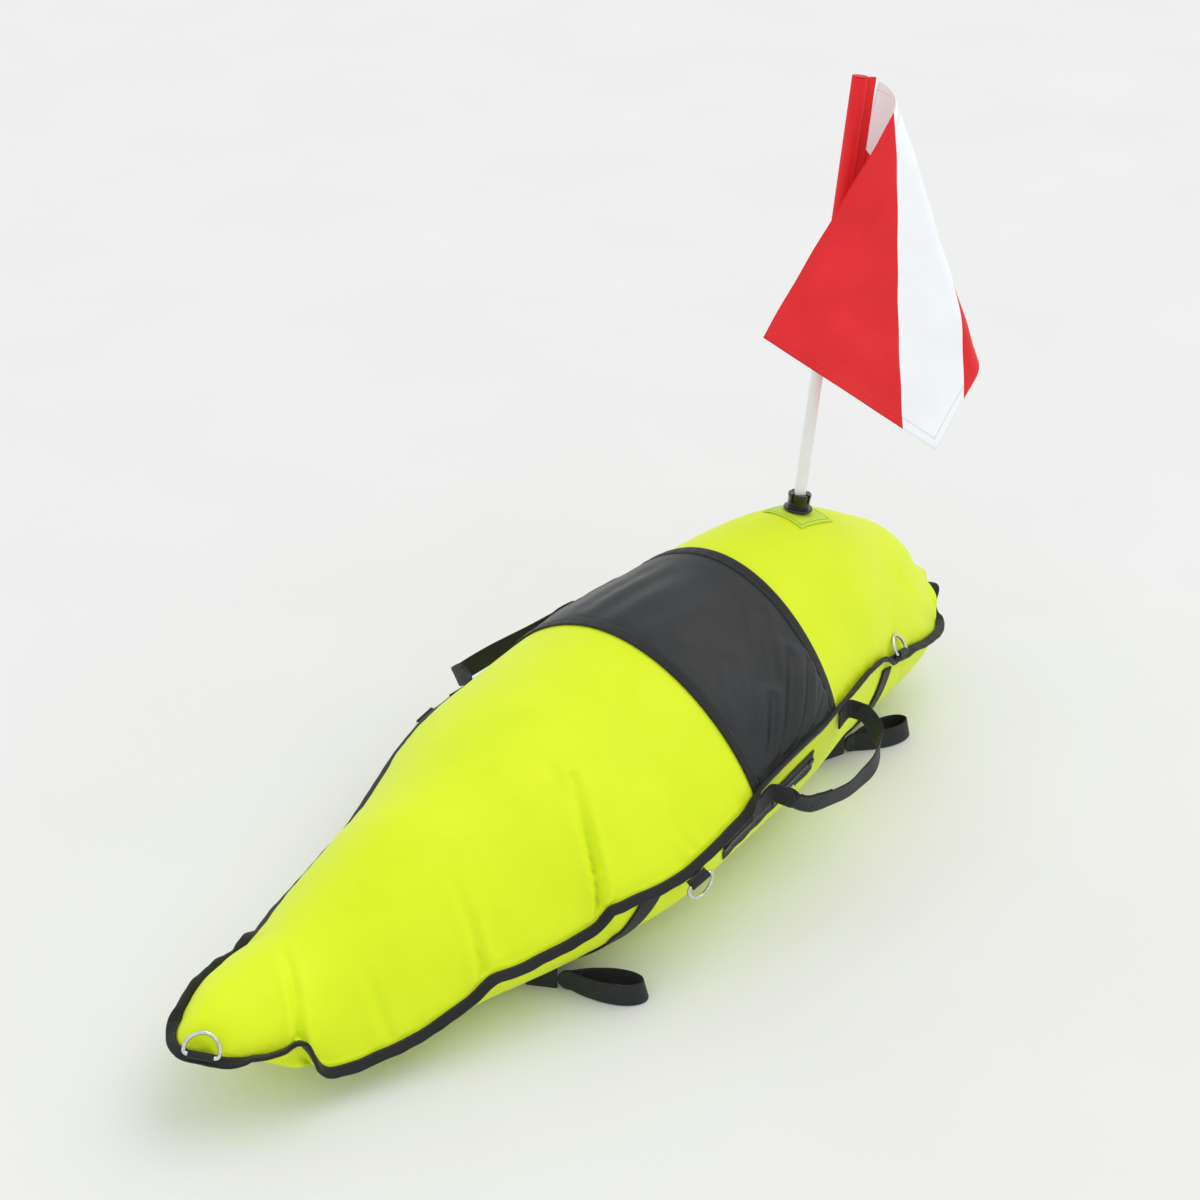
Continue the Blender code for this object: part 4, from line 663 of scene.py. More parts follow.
def stitch_tree():
    """Stitches of one length and thickness, a set step apart, along every line of a mesh."""
    group, given, put = shape_tree("stitches", "Stitches", Lines="Geometry", Step="Float", Length="Float",
                                   Thread="Float", Material="Material")
    lines = wire(group, "GeometryNodeMeshToCurve", given["Lines"]).outputs[0]
    evenly = wire(group, "GeometryNodeResampleCurve", lines, mode="LENGTH", Length=given["Step"]).outputs[0]
    thread = wire(group, "GeometryNodeMeshUVSphere", Segments=6, Rings=4, Radius=0.5).outputs[0]
    size = wire(group, "ShaderNodeCombineXYZ", given["Length"], given["Thread"], given["Thread"]).outputs[0]
    stitch = wire(group, "GeometryNodeTransform", Geometry=thread, Scale=size).outputs[0]
    smooth = wire(group, "GeometryNodeSetShadeSmooth", stitch).outputs[0]
    tangent = wire(group, "GeometryNodeInputTangent").outputs[0]
    turn = wire(group, "FunctionNodeAlignRotationToVector", Vector=tangent, axis="X").outputs[0]
    copies = wire(group, "GeometryNodeInstanceOnPoints", Points=evenly, Instance=smooth,
                  Rotation=turn).outputs[0]
    real = wire(group, "GeometryNodeRealizeInstances", copies).outputs[0]
    dressed = wire(group, "GeometryNodeSetMaterial", real, Material=given["Material"]).outputs[0]
    group.links.new(dressed, put["Stitches"])
    return group


stitches = stitch_tree()


def grow(name, base, group, values):
    """Plain mesh that a Geometry Nodes tree makes from a base object, which goes away."""
    modifier = base.modifiers.new("grow", "NODES")
    modifier.node_group = group
    for item in group.interface.items_tree:
        if item.in_out == "INPUT" and item.name in values:
            modifier[item.identifier] = values[item.name]
    bpy.context.view_layer.update()
    mesh = bpy.data.meshes.new_from_object(base.evaluated_get(bpy.context.evaluated_depsgraph_get()))
    mesh.name = name
    bpy.data.objects.remove(base, do_unlink=True)
    return add_object(name, mesh)


THREAD_LIFT = 0.0001
CLOSE_STITCHES = {"step": 0.0030, "length": 0.0023}


def sew(name, lines, body="hull", slot="black_webbing", material=black_thread,
        step=0.0036, length=0.0027, thread=0.00075):
    """Rows of stitches along polylines; a line whose ends meet is closed."""
    mesh = bpy.data.meshes.new(name)
    verts, edges = [], []
    for line in lines:
        start = len(verts)
        verts += [tuple(map(float, p)) for p in line]
        edges += [(k, k + 1) for k in range(start, len(verts) - 1)]
    mesh.from_pydata(verts, edges, [])
    rows = grow(name, add_object(name + "_lines", mesh), stitches,
                {"Step": step, "Length": length, "Thread": thread, "Material": material})
    return finish_piece(rows, None, body, slot)


binding_rows = []
for reach, facing in ((0.0038, 1), (0.0038, -1)):
    rise = facing * (BINDING_HALF + 0.00035)
    row = seam.origin + seam.along * reach + seam.across * rise
    binding_rows.append(np.concatenate([row, row[:1]]))
sew("binding_stitches", binding_rows)

# Saddle sheet
# One piece of black nylon pack cloth laid over the back of the float and sewn down along its four
# edges, each folded into a 13 mm hem. The float swells under it and draws soft wrinkles to the seam.

SADDLE_FRONT, SADDLE_REAR = station(0.040), station(0.211)
HEM_WIDTH = 0.013
EDGE_DROP = 0.0012
CLOTH_GAP = 0.0009
SADDLE_CLOTH, SADDLE_HALF = 0.0008, 0.22
HEM_THICKNESS = 0.0014
hem_share = HEM_WIDTH / HALF_LENGTH


def saddle_cloth(name):
    """Dark pack cloth; painted sheen makes it paler and bluer in random streaks and clouds, painted shade
    darkens between threads.
    """
    look = Look(name, 0.48, Sheen_Weight=0.08, Sheen_Roughness=0.35, Specular_IOR_Level=0.45)
    tree = look.tree
    flat = wire(tree, "ShaderNodeUVMap", uv_map="flat").outputs[0]
    weave = apply_effect(tree, weave_group, flat, Threads_per_metre=1500.0)
    clouds = look.noise(9.0, 6.0, Roughness=0.6)
    streak_place = wire(tree, "ShaderNodeVectorMath", flat, (60.0, 9.0, 1.0), operation="MULTIPLY").outputs[0]
    streaks = look.noise(1.0, 4.0, Vector=streak_place)
    # painted sheen: streaks and clouds lift the colour to paler, bluer tones; painted shade: darker in the
    # gaps between threads
    tone = maths(tree, "MULTIPLY_ADD", weave["Gap"], -0.35, maths(tree, "MULTIPLY_ADD", streaks, 0.35,
                                                                maths(tree, "MULTIPLY", clouds, 0.65)))
    look.set(Base_Color=ramp(tree, tone, (0.25, (0.006, 0.007, 0.008, 1)), (0.5, (0.012, 0.014, 0.016, 1)),
                             (0.8, (0.024, 0.028, 0.033, 1))))
    look.set(Roughness=maths(tree, "MULTIPLY_ADD", streaks, 0.22, 0.30))
    fine = look.bump(weave["Height"], 0.00016, 0.7)
    look.set(Normal=look.bump(streaks, 0.0012, 0.4, over=fine))
    return look.material


black_cloth = saddle_cloth("black pack cloth")

# Wrinkles of the sheet: start and end as (share along X, share of the half width, right negative),
# depth and width
WRINKLES = (((0.93, -0.64), (0.46, -0.985), 0.0052, 0.0066), ((0.985, -0.80), (0.66, -0.985), 0.0044, 0.0054),
            ((0.80, -0.56), (0.24, -0.985), 0.0040, 0.0074), ((0.46, -0.66), (0.10, -0.95), 0.0034, 0.0068),
            ((0.84, -0.34), (0.52, -0.60), 0.0026, 0.0100), ((0.36, -0.42), (0.08, -0.70), 0.0022, 0.0090),
            ((0.30, -0.22), (0.74, -0.30), 0.0014, 0.0120), ((0.06, 0.02), (0.82, -0.08), 0.0016, 0.0125),
            ((0.10, 0.20), (0.78, 0.14), 0.0016, 0.0110), ((0.15, 0.34), (0.90, 0.28), 0.0014, 0.0110),
            ((0.70, 0.62), (0.50, 0.985), 0.0030, 0.0065), ((0.40, 0.66), (0.25, 0.985), 0.0028, 0.0065),
            ((0.92, 0.70), (0.78, 0.985), 0.0026, 0.0060))


def wrinkle_relief(share_x, share_y):
    """Height of the saddle's wrinkles at points on it; always outward, so the cloth never dips in."""
    total = np.zeros(share_x.shape)
    size = (SADDLE_REAR - SADDLE_FRONT) * HALF_LENGTH
    for (x0, y0), (x1, y1), deep, wide in WRINKLES:
        a = np.array((x0 * size, y0 * SADDLE_HALF))
        run = np.array((x1 * size, y1 * SADDLE_HALF)) - a
        px, py = share_x * size - a[0], share_y * SADDLE_HALF - a[1]
        t = np.clip((px * run[0] + py * run[1]) / (run @ run), 0, 1)
        away = np.hypot(px - t * run[0], py - t * run[1])
        side = np.exp(-((away - 1.5 * wide) / wide) ** 2)
        total += deep * side * np.sin(np.pi * np.clip(0.15 + 0.85 * t, 0, 1)) ** 0.7
    return total


def sheet_shell(name, points, normals, low, high, uv):
    """Closed thin shell over a grid of points, between two heights along their normals."""
    rows, columns = points.shape[:2]
    shells = [points + normals * height for height in (low, high)]
    verts = np.concatenate([shell.reshape(-1, 3) for shell in shells])
    layer = rows * columns
    faces = grid_faces(rows, columns)
    faces += [face[1:] + face[:1] for face in grid_faces(rows, columns, layer)]
    rim = [*range(columns)] + [i * columns + columns - 1 for i in range(1, rows)]
    rim += [(rows - 1) * columns + j for j in reversed(range(columns - 1))]
    rim += [i * columns for i in reversed(range(1, rows - 1))]
    faces += [(a, b, b + layer, a + layer) for a, b in zip(rim, rim[1:] + rim[:1])]
    flat = np.concatenate([uv.reshape(-1, 2)] * 2)
    return turn_outward(mesh_piece(name, verts, faces, flat))


def cloth_uv(points):
    """Place on the flat cloth of a grid of points: arc lengths along its two directions."""
    down = np.linalg.norm(np.diff(points, axis=0), axis=-1)
    over = np.linalg.norm(np.diff(points, axis=1), axis=-1)
    u = np.concatenate([np.zeros((1, points.shape[1])), np.cumsum(down, axis=0)])
    v = np.concatenate([np.zeros((points.shape[0], 1)), np.cumsum(over, axis=1)], axis=1)
    return np.stack([u, v], -1)


def over_cover(s, angle, relief=0.0, top=True):
    """Points of something that lies on the finished cover, with the normals there."""
    points, normals = cover_points(s, angle, top, SKIN_LIFT)
    if np.ndim(relief):
        points = points + normals * relief[..., None]
    return points, normals


share_x, share_y = np.meshgrid(np.linspace(0, 1, 90), np.linspace(-1, 1, 200), indexing="ij")
s = SADDLE_FRONT + (SADDLE_REAR - SADDLE_FRONT) * (0.055 + 0.89 * share_x)
widest = rise_angle(s, EDGE_DROP + 0.55 * HEM_WIDTH)
relief = wrinkle_relief(share_x, share_y)
border = np.minimum(np.minimum(share_x, 1 - share_x) / 0.05, (1 - np.abs(share_y)) / 0.04)
relief = relief * np.clip(border, 0, 1) + 0.0012 * np.clip(border / 2, 0, 1)
points, normals = over_cover(s, widest * share_y, relief)
saddle = sheet_shell("saddle", points, normals, CLOTH_GAP, CLOTH_GAP + SADDLE_CLOTH, cloth_uv(points))
finish_piece(saddle, black_cloth, "hull", "black_cloth", "saddle_sheet")


def hem_plump(over, along, puckers):
    """Rise of a folded hem, fullest in its middle and puckered along its run."""
    return 0.0007 * np.sqrt(np.maximum(0, 1 - (2 * over - 1) ** 2)) * (1 + 0.3 * np.sin(along * puckers))


hem_cloth = webbing_cloth("black hem cloth", (0.010, 0.011, 0.012), (0.024, 0.027, 0.030), 0.0011, 0.55)
saddle_threads = []
for word, start in (("front", SADDLE_FRONT), ("rear", SADDLE_REAR - hem_share)):
    a, b = np.meshgrid(np.linspace(0, 1, 9), np.linspace(-1, 1, 200), indexing="ij")
    s = start + hem_share * a
    points, normals = over_cover(s, rise_angle(s, EDGE_DROP) * b, hem_plump(a, b, 90))
    hem = sheet_shell(f"saddle_{word}_hem_fold", points, normals, CLOTH_GAP, CLOTH_GAP + HEM_THICKNESS,
                      cloth_uv(points)[..., ::-1])
    finish_piece(hem, hem_cloth, "hull", "black_webbing", f"saddle_{word}_hem")
    inner = 6 if word == "front" else 2
    saddle_threads.append(points[inner] + normals[inner] * (CLOTH_GAP + HEM_THICKNESS + THREAD_LIFT))
for side in (RIGHT, LEFT):
    a, b = np.meshgrid(np.linspace(0, 1, 80), np.linspace(0, 1, 9), indexing="ij")
    s = SADDLE_FRONT + hem_share + 0.0006 + (SADDLE_REAR - SADDLE_FRONT - 2 * hem_share - 0.0012) * a
    inner, outer = rise_angle(s, EDGE_DROP + HEM_WIDTH), rise_angle(s, EDGE_DROP)
    points, normals = over_cover(s, side * (inner + (outer - inner) * b), hem_plump(b, a, 40))
    name = f"saddle_{WORDS[side]}_hem"
    hem = sheet_shell(name + "_fold", points, normals, CLOTH_GAP, CLOTH_GAP + HEM_THICKNESS, cloth_uv(points))
    finish_piece(hem, hem_cloth, "hull", "black_webbing", name)
    saddle_threads.append(points[:, 3] + normals[:, 3] * (CLOTH_GAP + HEM_THICKNESS + THREAD_LIFT))
stitched = sew("saddle_stitches", saddle_threads)

# Webbing
# Black polypropylene webbing, 25 mm wide and 1.6 mm thick: two carrying handles, four straps down
# the lower panel, and the loops and folded tabs that are sewn to them, all with black thread.

WEBBING_WIDTH = 0.025
WEBBING = 0.0016
black_webbing = webbing_cloth("black webbing", (0.014, 0.016, 0.018), (0.045, 0.050, 0.055), 0.0021, 0.68)


def strip(name, path, across, half_widths, thickness):
    """Webbing along a path; across is the unit width direction at each point. Its edges are rounded."""
    path, across = np.asarray(path, float), np.asarray(across, float)
    tangent = unit(np.gradient(path, axis=0))
    across = unit(across - tangent * (across * tangent).sum(-1, keepdims=True))
    face = unit(np.cross(tangent, across))
    half_widths = np.broadcast_to(half_widths, len(path))
    edge, brow = 0.0006, thickness * 0.22
    ribs = np.linspace(-1, 1, 9)
    run = run_along(path)
    rings, flats = [], []
    for k, (point, wide, out) in enumerate(zip(path, across, face)):
        half = half_widths[k]
        inner = max(half - edge, half * 0.6)
        top = [(inner * r, thickness / 2) for r in ribs]
        ring = [*top, (half, brow), (half, -brow), *((x, -y) for x, y in reversed(top)), (-half, -brow),
                (-half, brow)]
        rings += [point + wide * x + out * y for x, y in ring]
        flats += [(run[k], x + (0.0005 if y > 0 else -0.0005)) for x, y in ring]
    size = len(ring)
    faces = [tuple(reversed(range(size))), *band_faces(size, len(path))]
    faces.append(tuple(size * (len(path) - 1) + i for i in range(size)))
    return turn_outward(mesh_piece(name, rings, faces, np.array(flats)))


def local_frame(origin, x_axis, y_axis):
    """Right-handed frame as a 4x4 array; X is kept and Y is squared to it."""
    x = unit(np.asarray(x_axis, float))
    z = unit(np.cross(x, np.asarray(y_axis, float)))
    matrix = np.eye(4)
    matrix[:3, :4] = np.stack([x, np.cross(z, x), z, np.asarray(origin, float)], -1)
    return matrix


def rolled(matrix, turn):
    """Frame turned about its own X."""
    cosine, sine = math.cos(turn), math.sin(turn)
    return matrix @ np.array(((1, 0, 0, 0), (0, cosine, -sine, 0), (0, sine, cosine, 0), (0, 0, 0, 1)))


def placed(matrix, points):
    return np.asarray(points, float) @ matrix[:3, :3].T + matrix[:3, 3]


def turned_in(matrix, direction):
    return matrix[:3, :3] @ np.asarray(direction, float)


def smooth_path(points, count, rounds=2):
    """Path resampled evenly after its corners are cut a few times."""
    points = np.asarray(points, float)
    for _ in range(rounds):
        cut = np.stack([0.75 * points[:-1] + 0.25 * points[1:], 0.25 * points[:-1] + 0.75 * points[1:]], 1)
        points = np.concatenate([points[:1], cut.reshape(-1, points.shape[1]), points[-1:]])
    run = run_along(points)
    even = np.linspace(0, run[-1], count)
    return np.stack([np.interp(even, run, column) for column in points.T], -1)


def box_rows(matrix, x_range, y_range, z):
    """Sewn box with its diagonals, as polylines in a frame's XY plane at a height."""
    (x0, x1), (y0, y1) = x_range, y_range
    ring = [(x0, y0, z), (x1, y0, z), (x1, y1, z), (x0, y1, z), (x0, y0, z)]
    return [placed(matrix, row) for row in (ring, [(x0, y0, z), (x1, y1, z)], [(x0, y1, z), (x1, y0, z)])]


# Carrying handles: each end is a round-ended tongue that turns beside a root, which runs along under
# the binding and is sewn there. For each side, its front end's X, how far it leans along, its reach.
RADIUS = WEBBING_WIDTH / 2
ROUND_TURNS = np.radians(np.linspace(84, 6, 8))
STITCH_SIDES = (-0.0100, 0.0100)
HANDLE_SPAN, HANDLE_STUB, HANDLE_DROOP = 0.168, 0.0040, math.radians(38)
HANDLE_PLACES = {RIGHT: (0.068, 0.28, 0.043), LEFT: (0.0, -0.48, 0.050)}


def handle_frame(side, front_x):
    """Frame with X along the hinge line and Y outward, and its span."""
    edge = BINDING_REACH * math.cos(FLANGE_DROOP) + BINDING_HALF * math.sin(FLANGE_DROOP)
    drop = BINDING_REACH * math.sin(FLANGE_DROOP)
    ends = [Seam(station(x), side) for x in (front_x, front_x + HANDLE_SPAN)]
    pivots = [e.origin + e.outward * (edge + 2 * GAP + HANDLE_STUB + RADIUS) - e.up * drop for e in ends]
    frame_at = local_frame(pivots[0], pivots[1] - pivots[0], ends[0].outward + ends[1].outward)
    return frame_at, np.linalg.norm(pivots[1] - pivots[0])


root_rows = []
for side in (RIGHT, LEFT):
    word = WORDS[side]
    front_x, skew, handle_reach = HANDLE_PLACES[side]
    level, span = handle_frame(side, front_x)
    turn = side * -HANDLE_DROOP
    matrix = rolled(level, turn)
    turns = np.linspace(0, np.pi, 64)
    arch = np.stack([span / 2 * (1 - np.cos(turns) + skew * np.sin(turns) ** 2),
                     handle_reach * np.sin(turns), 0 * turns], -1)
    lead = np.stack([0 * ROUND_TURNS, -RADIUS * np.sin(ROUND_TURNS), 0 * ROUND_TURNS], -1)
    tail = lead[::-1] + (span, 0, 0)
    path = np.concatenate([lead, smooth_path(arch, 90), tail])
    halves = np.concatenate([RADIUS * np.cos(ROUND_TURNS), np.full(90, RADIUS),
                             RADIUS * np.cos(ROUND_TURNS[::-1])])
    middle = np.clip((path[:, 0] / span), 0, 1)
    sag = np.sin(np.pi * middle)
    path[:, 2] -= 0.0015 * sag * (-side)
    path[:, 1] += 0.0006 * np.sin(middle * 19) * sag
    lean = turn * (-0.92 + 0.22 * np.sin(2 * np.pi * middle)) * np.clip(sag * 3, 0, 1)
    across = np.stack([0 * lean, -np.sin(lean), np.cos(lean)], -1)
    handle = strip(f"handle_{word}_webbing", placed(matrix, path), across @ matrix[:3, :3].T, halves, WEBBING)
    finish_piece(handle, black_webbing, f"handle_{word}", "black_webbing", f"handle_{word}")
    inward = unit(np.cross(unit(np.gradient(path, axis=0)), across))
    inward *= np.where((inward * ((span / 2, 0, 0) - path)).sum(-1) < 0, -1, 1)[:, None]
    doubled = slice(10, 32)
    lining = strip(f"handle_{word}_doubling", placed(matrix, (path + inward * (WEBBING + 0.0002))[doubled]),
                   across[doubled] @ matrix[:3, :3].T, halves[doubled], WEBBING)
    finish_piece(lining, black_webbing, f"handle_{word}", "black_webbing", f"handle_{word}")
    faces = placed(matrix, path - inward * (WEBBING / 2 + THREAD_LIFT))
    wide = across @ matrix[:3, :3].T
    overlap = [faces[doubled] + wide[doubled] * z for z in STITCH_SIDES]
    overlap += [np.array([faces[k] + wide[k] * z for z in STITCH_SIDES]) for k in (11, 21, 30)]
    for first, last in ((11, 21), (21, 30)):
        share = np.linspace(*STITCH_SIDES, last - first + 1)[:, None]
        overlap += [faces[first:last + 1] + wide[first:last + 1] * share,
                    faces[first:last + 1] - wide[first:last + 1] * share]
    sew(f"handle_{word}_stitches", overlap, f"handle_{word}", **CLOSE_STITCHES)
    for place_word, x in (("front", 0.0), ("rear", span)):
        forward, beside = (-1, x - 0.0024) if place_word == "front" else (-0.45, x + 0.0024)
        root = smooth_path([(beside, 0.0060, 0), (beside, -0.0190, 0), (beside + forward * 0.005, -0.0228, 0),
                            (x + forward * 0.018, -0.0246, 0), (x + forward * 0.040, -0.0252, 0)], 40)
        root[:, 2] = -side * 0.0060 * np.clip((np.abs(root[:, 0] - x) - 0.0024) / 0.014, 0, 1)
        direction = np.tile(turned_in(level, (0, 0, 1)), (len(root), 1))
        root_path = placed(level, root)
        root_halves = RADIUS * np.sqrt(np.clip(1 - ((0.0002 + root[:, 1]) / 0.0064) ** 2, 0.05, 1))
        root_halves[root[:, 1] < 0] = RADIUS
        piece = strip(f"handle_root_{place_word}_{word}_webbing", root_path, direction, root_halves,
                      1.4 * WEBBING)
        outside = root_path + turned_in(level, (0, 1, 0)) * (0.7 * WEBBING + 0.00015)
        root_rows += [outside[23:-1] + direction[23:-1] * z for z in STITCH_SIDES]
        root_rows += [np.array([outside[k] + direction[k] * z for z in STITCH_SIDES])
                      for k in (24, 31, 38)]
        finish_piece(piece, black_webbing, "hull", "black_webbing", f"handle_root_{place_word}_{word}")

sew("handle_root_stitches", root_rows, **CLOSE_STITCHES)

# Straps: flat webbing sewn down the lower panel from just under the binding to the belly's edge
STRAP_ENDS = {"front": (-0.115, -0.190), "rear": (0.365, 0.295)}
STRAP_DROP, STRAP_FOOT_HEIGHT, STRAP_FLOOR = 0.0150, 0.0080, 0.0006
strap_rows = []
for side in (RIGHT, LEFT):
    for place_word, (top_x, foot_x) in STRAP_ENDS.items():
        u, v = np.meshgrid(np.linspace(0, 1, 60), np.linspace(0, 1, 9), indexing="ij")
        s = station(top_x + (foot_x - top_x) * u + (v - 0.5) * WEBBING_WIDTH)
        start, end = drop_angle(s, STRAP_DROP), drop_angle(s, seam_height(s) - STRAP_FOOT_HEIGHT)
        points, normals = over_cover(s, side * (start + (end - start) * u), top=False)
        floor_room = np.maximum(0.0, STRAP_FLOOR - (points + normals * CLOTH_GAP)[..., 2])
        points[..., 2] += floor_room
        name = f"strap_{place_word}_{WORDS[side]}"
        strap = sheet_shell(name + "_webbing", points, normals, CLOTH_GAP, CLOTH_GAP + WEBBING,
                            cloth_uv(points))
        finish_piece(strap, black_webbing, "hull", "black_webbing", name)
        for k in (1, 7):
            strap_rows.append(points[2:-2, k] + normals[2:-2, k] * (CLOTH_GAP + WEBBING + THREAD_LIFT))
sew("strap_stitches", strap_rows)

# Ground loops
# The lower end of each strap runs on as a loop of the same webbing that stands on edge beside the
# belly. Its two ends are sewn together on a doubled stub, which is sewn to the strap's foot.

joint_of = {joint["child"]: joint for joint in frame["record"]["behaviour"]["joints"]}
LOOP_LENGTH, LOOP_WIDTH, LOOP_TAPER = 0.080, 0.034, 0.8
LOOP_YAW = {"front": math.radians(34), "rear": math.radians(72)}


def from_node(name, matrix, bevel=0.0004, detail=2):
    """Copy of a node's closed shape with its loose faces joined, its edges eased and a flat map on it."""
    work = bmesh.new()
    work.from_mesh(frame["nodes"][name].data)
    bmesh.ops.remove_doubles(work, verts=work.verts, dist=1e-6)
    bmesh.ops.dissolve_limit(work, angle_limit=math.radians(1), verts=work.verts, edges=work.edges)
    if bevel:
        sharp = [e for e in work.edges if e.is_manifold and e.calc_face_angle(0) > math.radians(40)]
        bmesh.ops.bevel(work, geom=sharp, offset=bevel, segments=detail, profile=0.5, affect="EDGES",
                        clamp_overlap=True)
    bmesh.ops.triangulate(work, faces=[f for f in work.faces if len(f.verts) > 4])
    mesh = bpy.data.meshes.new(name)
    work.to_mesh(mesh)
    work.free()
    layer = mesh.uv_layers.new(name="flat")
    spots = np.array([v.co for v in mesh.vertices]) - matrix[:3, 3]
    for loop in mesh.loops:
        layer.data[loop.index].uv = spots[loop.vertex_index] @ matrix[:3, :2]
    mesh.shade_smooth()
    mesh.set_sharp_from_angle(angle=math.radians(50))
    return add_object(name + "_piece", mesh)


for side in (RIGHT, LEFT):
    for end in ("front", "rear"):
        word = f"{end}_{WORDS[side]}"
        yaw = LOOP_YAW[end]
        heading = np.array((math.sin(yaw), side * math.cos(yaw), 0.0))
        matrix = local_frame(joint_of["ground_loop_" + word]["pos_m"], heading, np.cross((0, 0, 1), heading))
        strand = (WEBBING + 0.0004) / 2
        turns = np.linspace(0, np.pi, 60)[:-1]
        swell = LOOP_WIDTH / 2 * np.sin(turns) * np.sin(turns / 2) ** LOOP_TAPER
        reach = LOOP_LENGTH * (1 - np.cos(turns)) / 2
        half = np.stack([reach, np.maximum(strand, swell)], -1)
        half = np.concatenate([[(-RADIUS * 0.995, strand)], half])
        ring = np.concatenate([half, [(LOOP_LENGTH, 0)], half[::-1] * (1, -1)])
        path = smooth_path(np.column_stack([ring, 0 * ring[:, 0]]), 150, 1)
        round_half = np.sqrt(np.maximum(1e-7, RADIUS ** 2 - np.minimum(path[:, 0], 0) ** 2))
        halves = np.where(path[:, 0] < 0, round_half, RADIUS)
        lean = np.radians(13) * np.clip(path[:, 0] / LOOP_LENGTH, 0, 1)
        away = unit(np.stack([path[:, 0] - 0.5 * LOOP_LENGTH, path[:, 1] * 2.2, 0 * lean], -1))
        across = away * -np.sin(lean)[:, None] + np.array((0, 0, 1)) * np.cos(lean)[:, None]
        loop = strip(f"ground_loop_{word}_webbing", placed(matrix, path), across @ matrix[:3, :3].T,
                     halves, WEBBING)
        finish_piece(loop, black_webbing, f"ground_loop_{word}", "black_webbing", f"ground_loop_{word}")
        rows = []
        for face in (1, -1):
            tab = rolled(matrix, face * math.pi / 2)
            rows += box_rows(tab, (-0.0080, 0.0120), (-0.0090, 0.0090), -(strand + WEBBING / 2 + THREAD_LIFT))
        sew(f"ground_loop_{word}_stitches", rows, f"ground_loop_{word}", thread=0.0006, **CLOSE_STITCHES)
        upright = local_frame(matrix[:3, 3], heading, (0, 0, 1))
        stub = from_node("loop_stub_" + word, upright)
        finish_piece(stub, black_webbing, "hull", "black_webbing", "loop_stub_" + word)

# Rings and tabs
# Five welded D-rings of 4 mm bright steel wire. Each turns in a short tab of webbing that is folded
# round its straight bar, sewn across, and caught under the binding.

RING_HALF, RING_WIRE, RING_ARM = 0.017, 0.0040, 0.005
TAB_LEG, TAB_FOLD_GAP = 0.0045, 0.0004


def bright_steel(name):
    """Drawn wire: fine lines along it and small dull patches."""
    look = Look(name, 0.22, 1.0, Coat_Roughness=0.2)
    tree = look.tree
    patches = look.noise(220.0, 5.0)
    scratches = look.noise(1400.0, 3.0)
    look.set(Base_Color=ramp(tree, patches, (0.3, (0.56, 0.57, 0.58, 1)), (0.7, (0.80, 0.80, 0.81, 1))))
    look.set(Roughness=maths(tree, "MULTIPLY_ADD", patches, 0.22, 0.12),
             Normal=look.bump(scratches, 0.00004, 0.5))
    return look.material


steel = bright_steel("bright steel")


def wire_ring(name, path, radius, sides=14):
    """Round wire along a closed path."""
    path = np.asarray(path, float)
    tangent = unit(np.roll(path, -1, 0) - np.roll(path, 1, 0))
    plane = unit(np.cross(path[len(path) // 4] - path[0], path[len(path) // 2] - path[0]))
    side = unit(np.cross(tangent, plane))
    turns = np.linspace(0, math.tau, sides, endpoint=False)
    verts = [p + radius * (a * math.cos(t) + plane * math.sin(t)) for p, a in zip(path, side) for t in turns]
    return turn_outward(mesh_piece(name, verts, band_faces(sides, len(path), closed=True)))


def folded(name, matrix, eye, leg, thickness, width):
    """Strip folded round a bar at a frame's origin; its legs run back along -X."""
    centre = eye + thickness / 2
    offset = (thickness + TAB_FOLD_GAP) / 2
    opening = math.pi - math.asin(offset / centre)
    turns = np.linspace(-opening, opening, 29)
    leg_run = np.linspace(leg, 0.0006, 6)[:, None] * (-1, 0) + (-centre, 0)
    arc = np.stack([centre * np.cos(turns), centre * np.sin(turns)], -1)
    path = np.concatenate([leg_run - (0, offset), arc, leg_run[::-1] + (0, offset)])
    path = smooth_path(np.column_stack([path, 0 * path[:, 0]]), 64, 1)
    across = np.tile(turned_in(matrix, (0, 0, 1)), (len(path), 1))
    return strip(name, placed(matrix, path), across, width / 2, thickness)


def bar_frame(word):
    """Frame of a ring at rest, from its joint: X along the bar, Y toward the round end."""
    joint = joint_of["ring_" + word]
    centre, axis = np.array(joint["pos_m"]), unit(np.array(joint["axis"]))
    low, high = map(np.array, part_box("ring_" + word))
    arm = unit((low + high) / 2 - centre - axis * (((low + high) / 2 - centre) @ axis))
    return local_frame(centre, axis, arm)


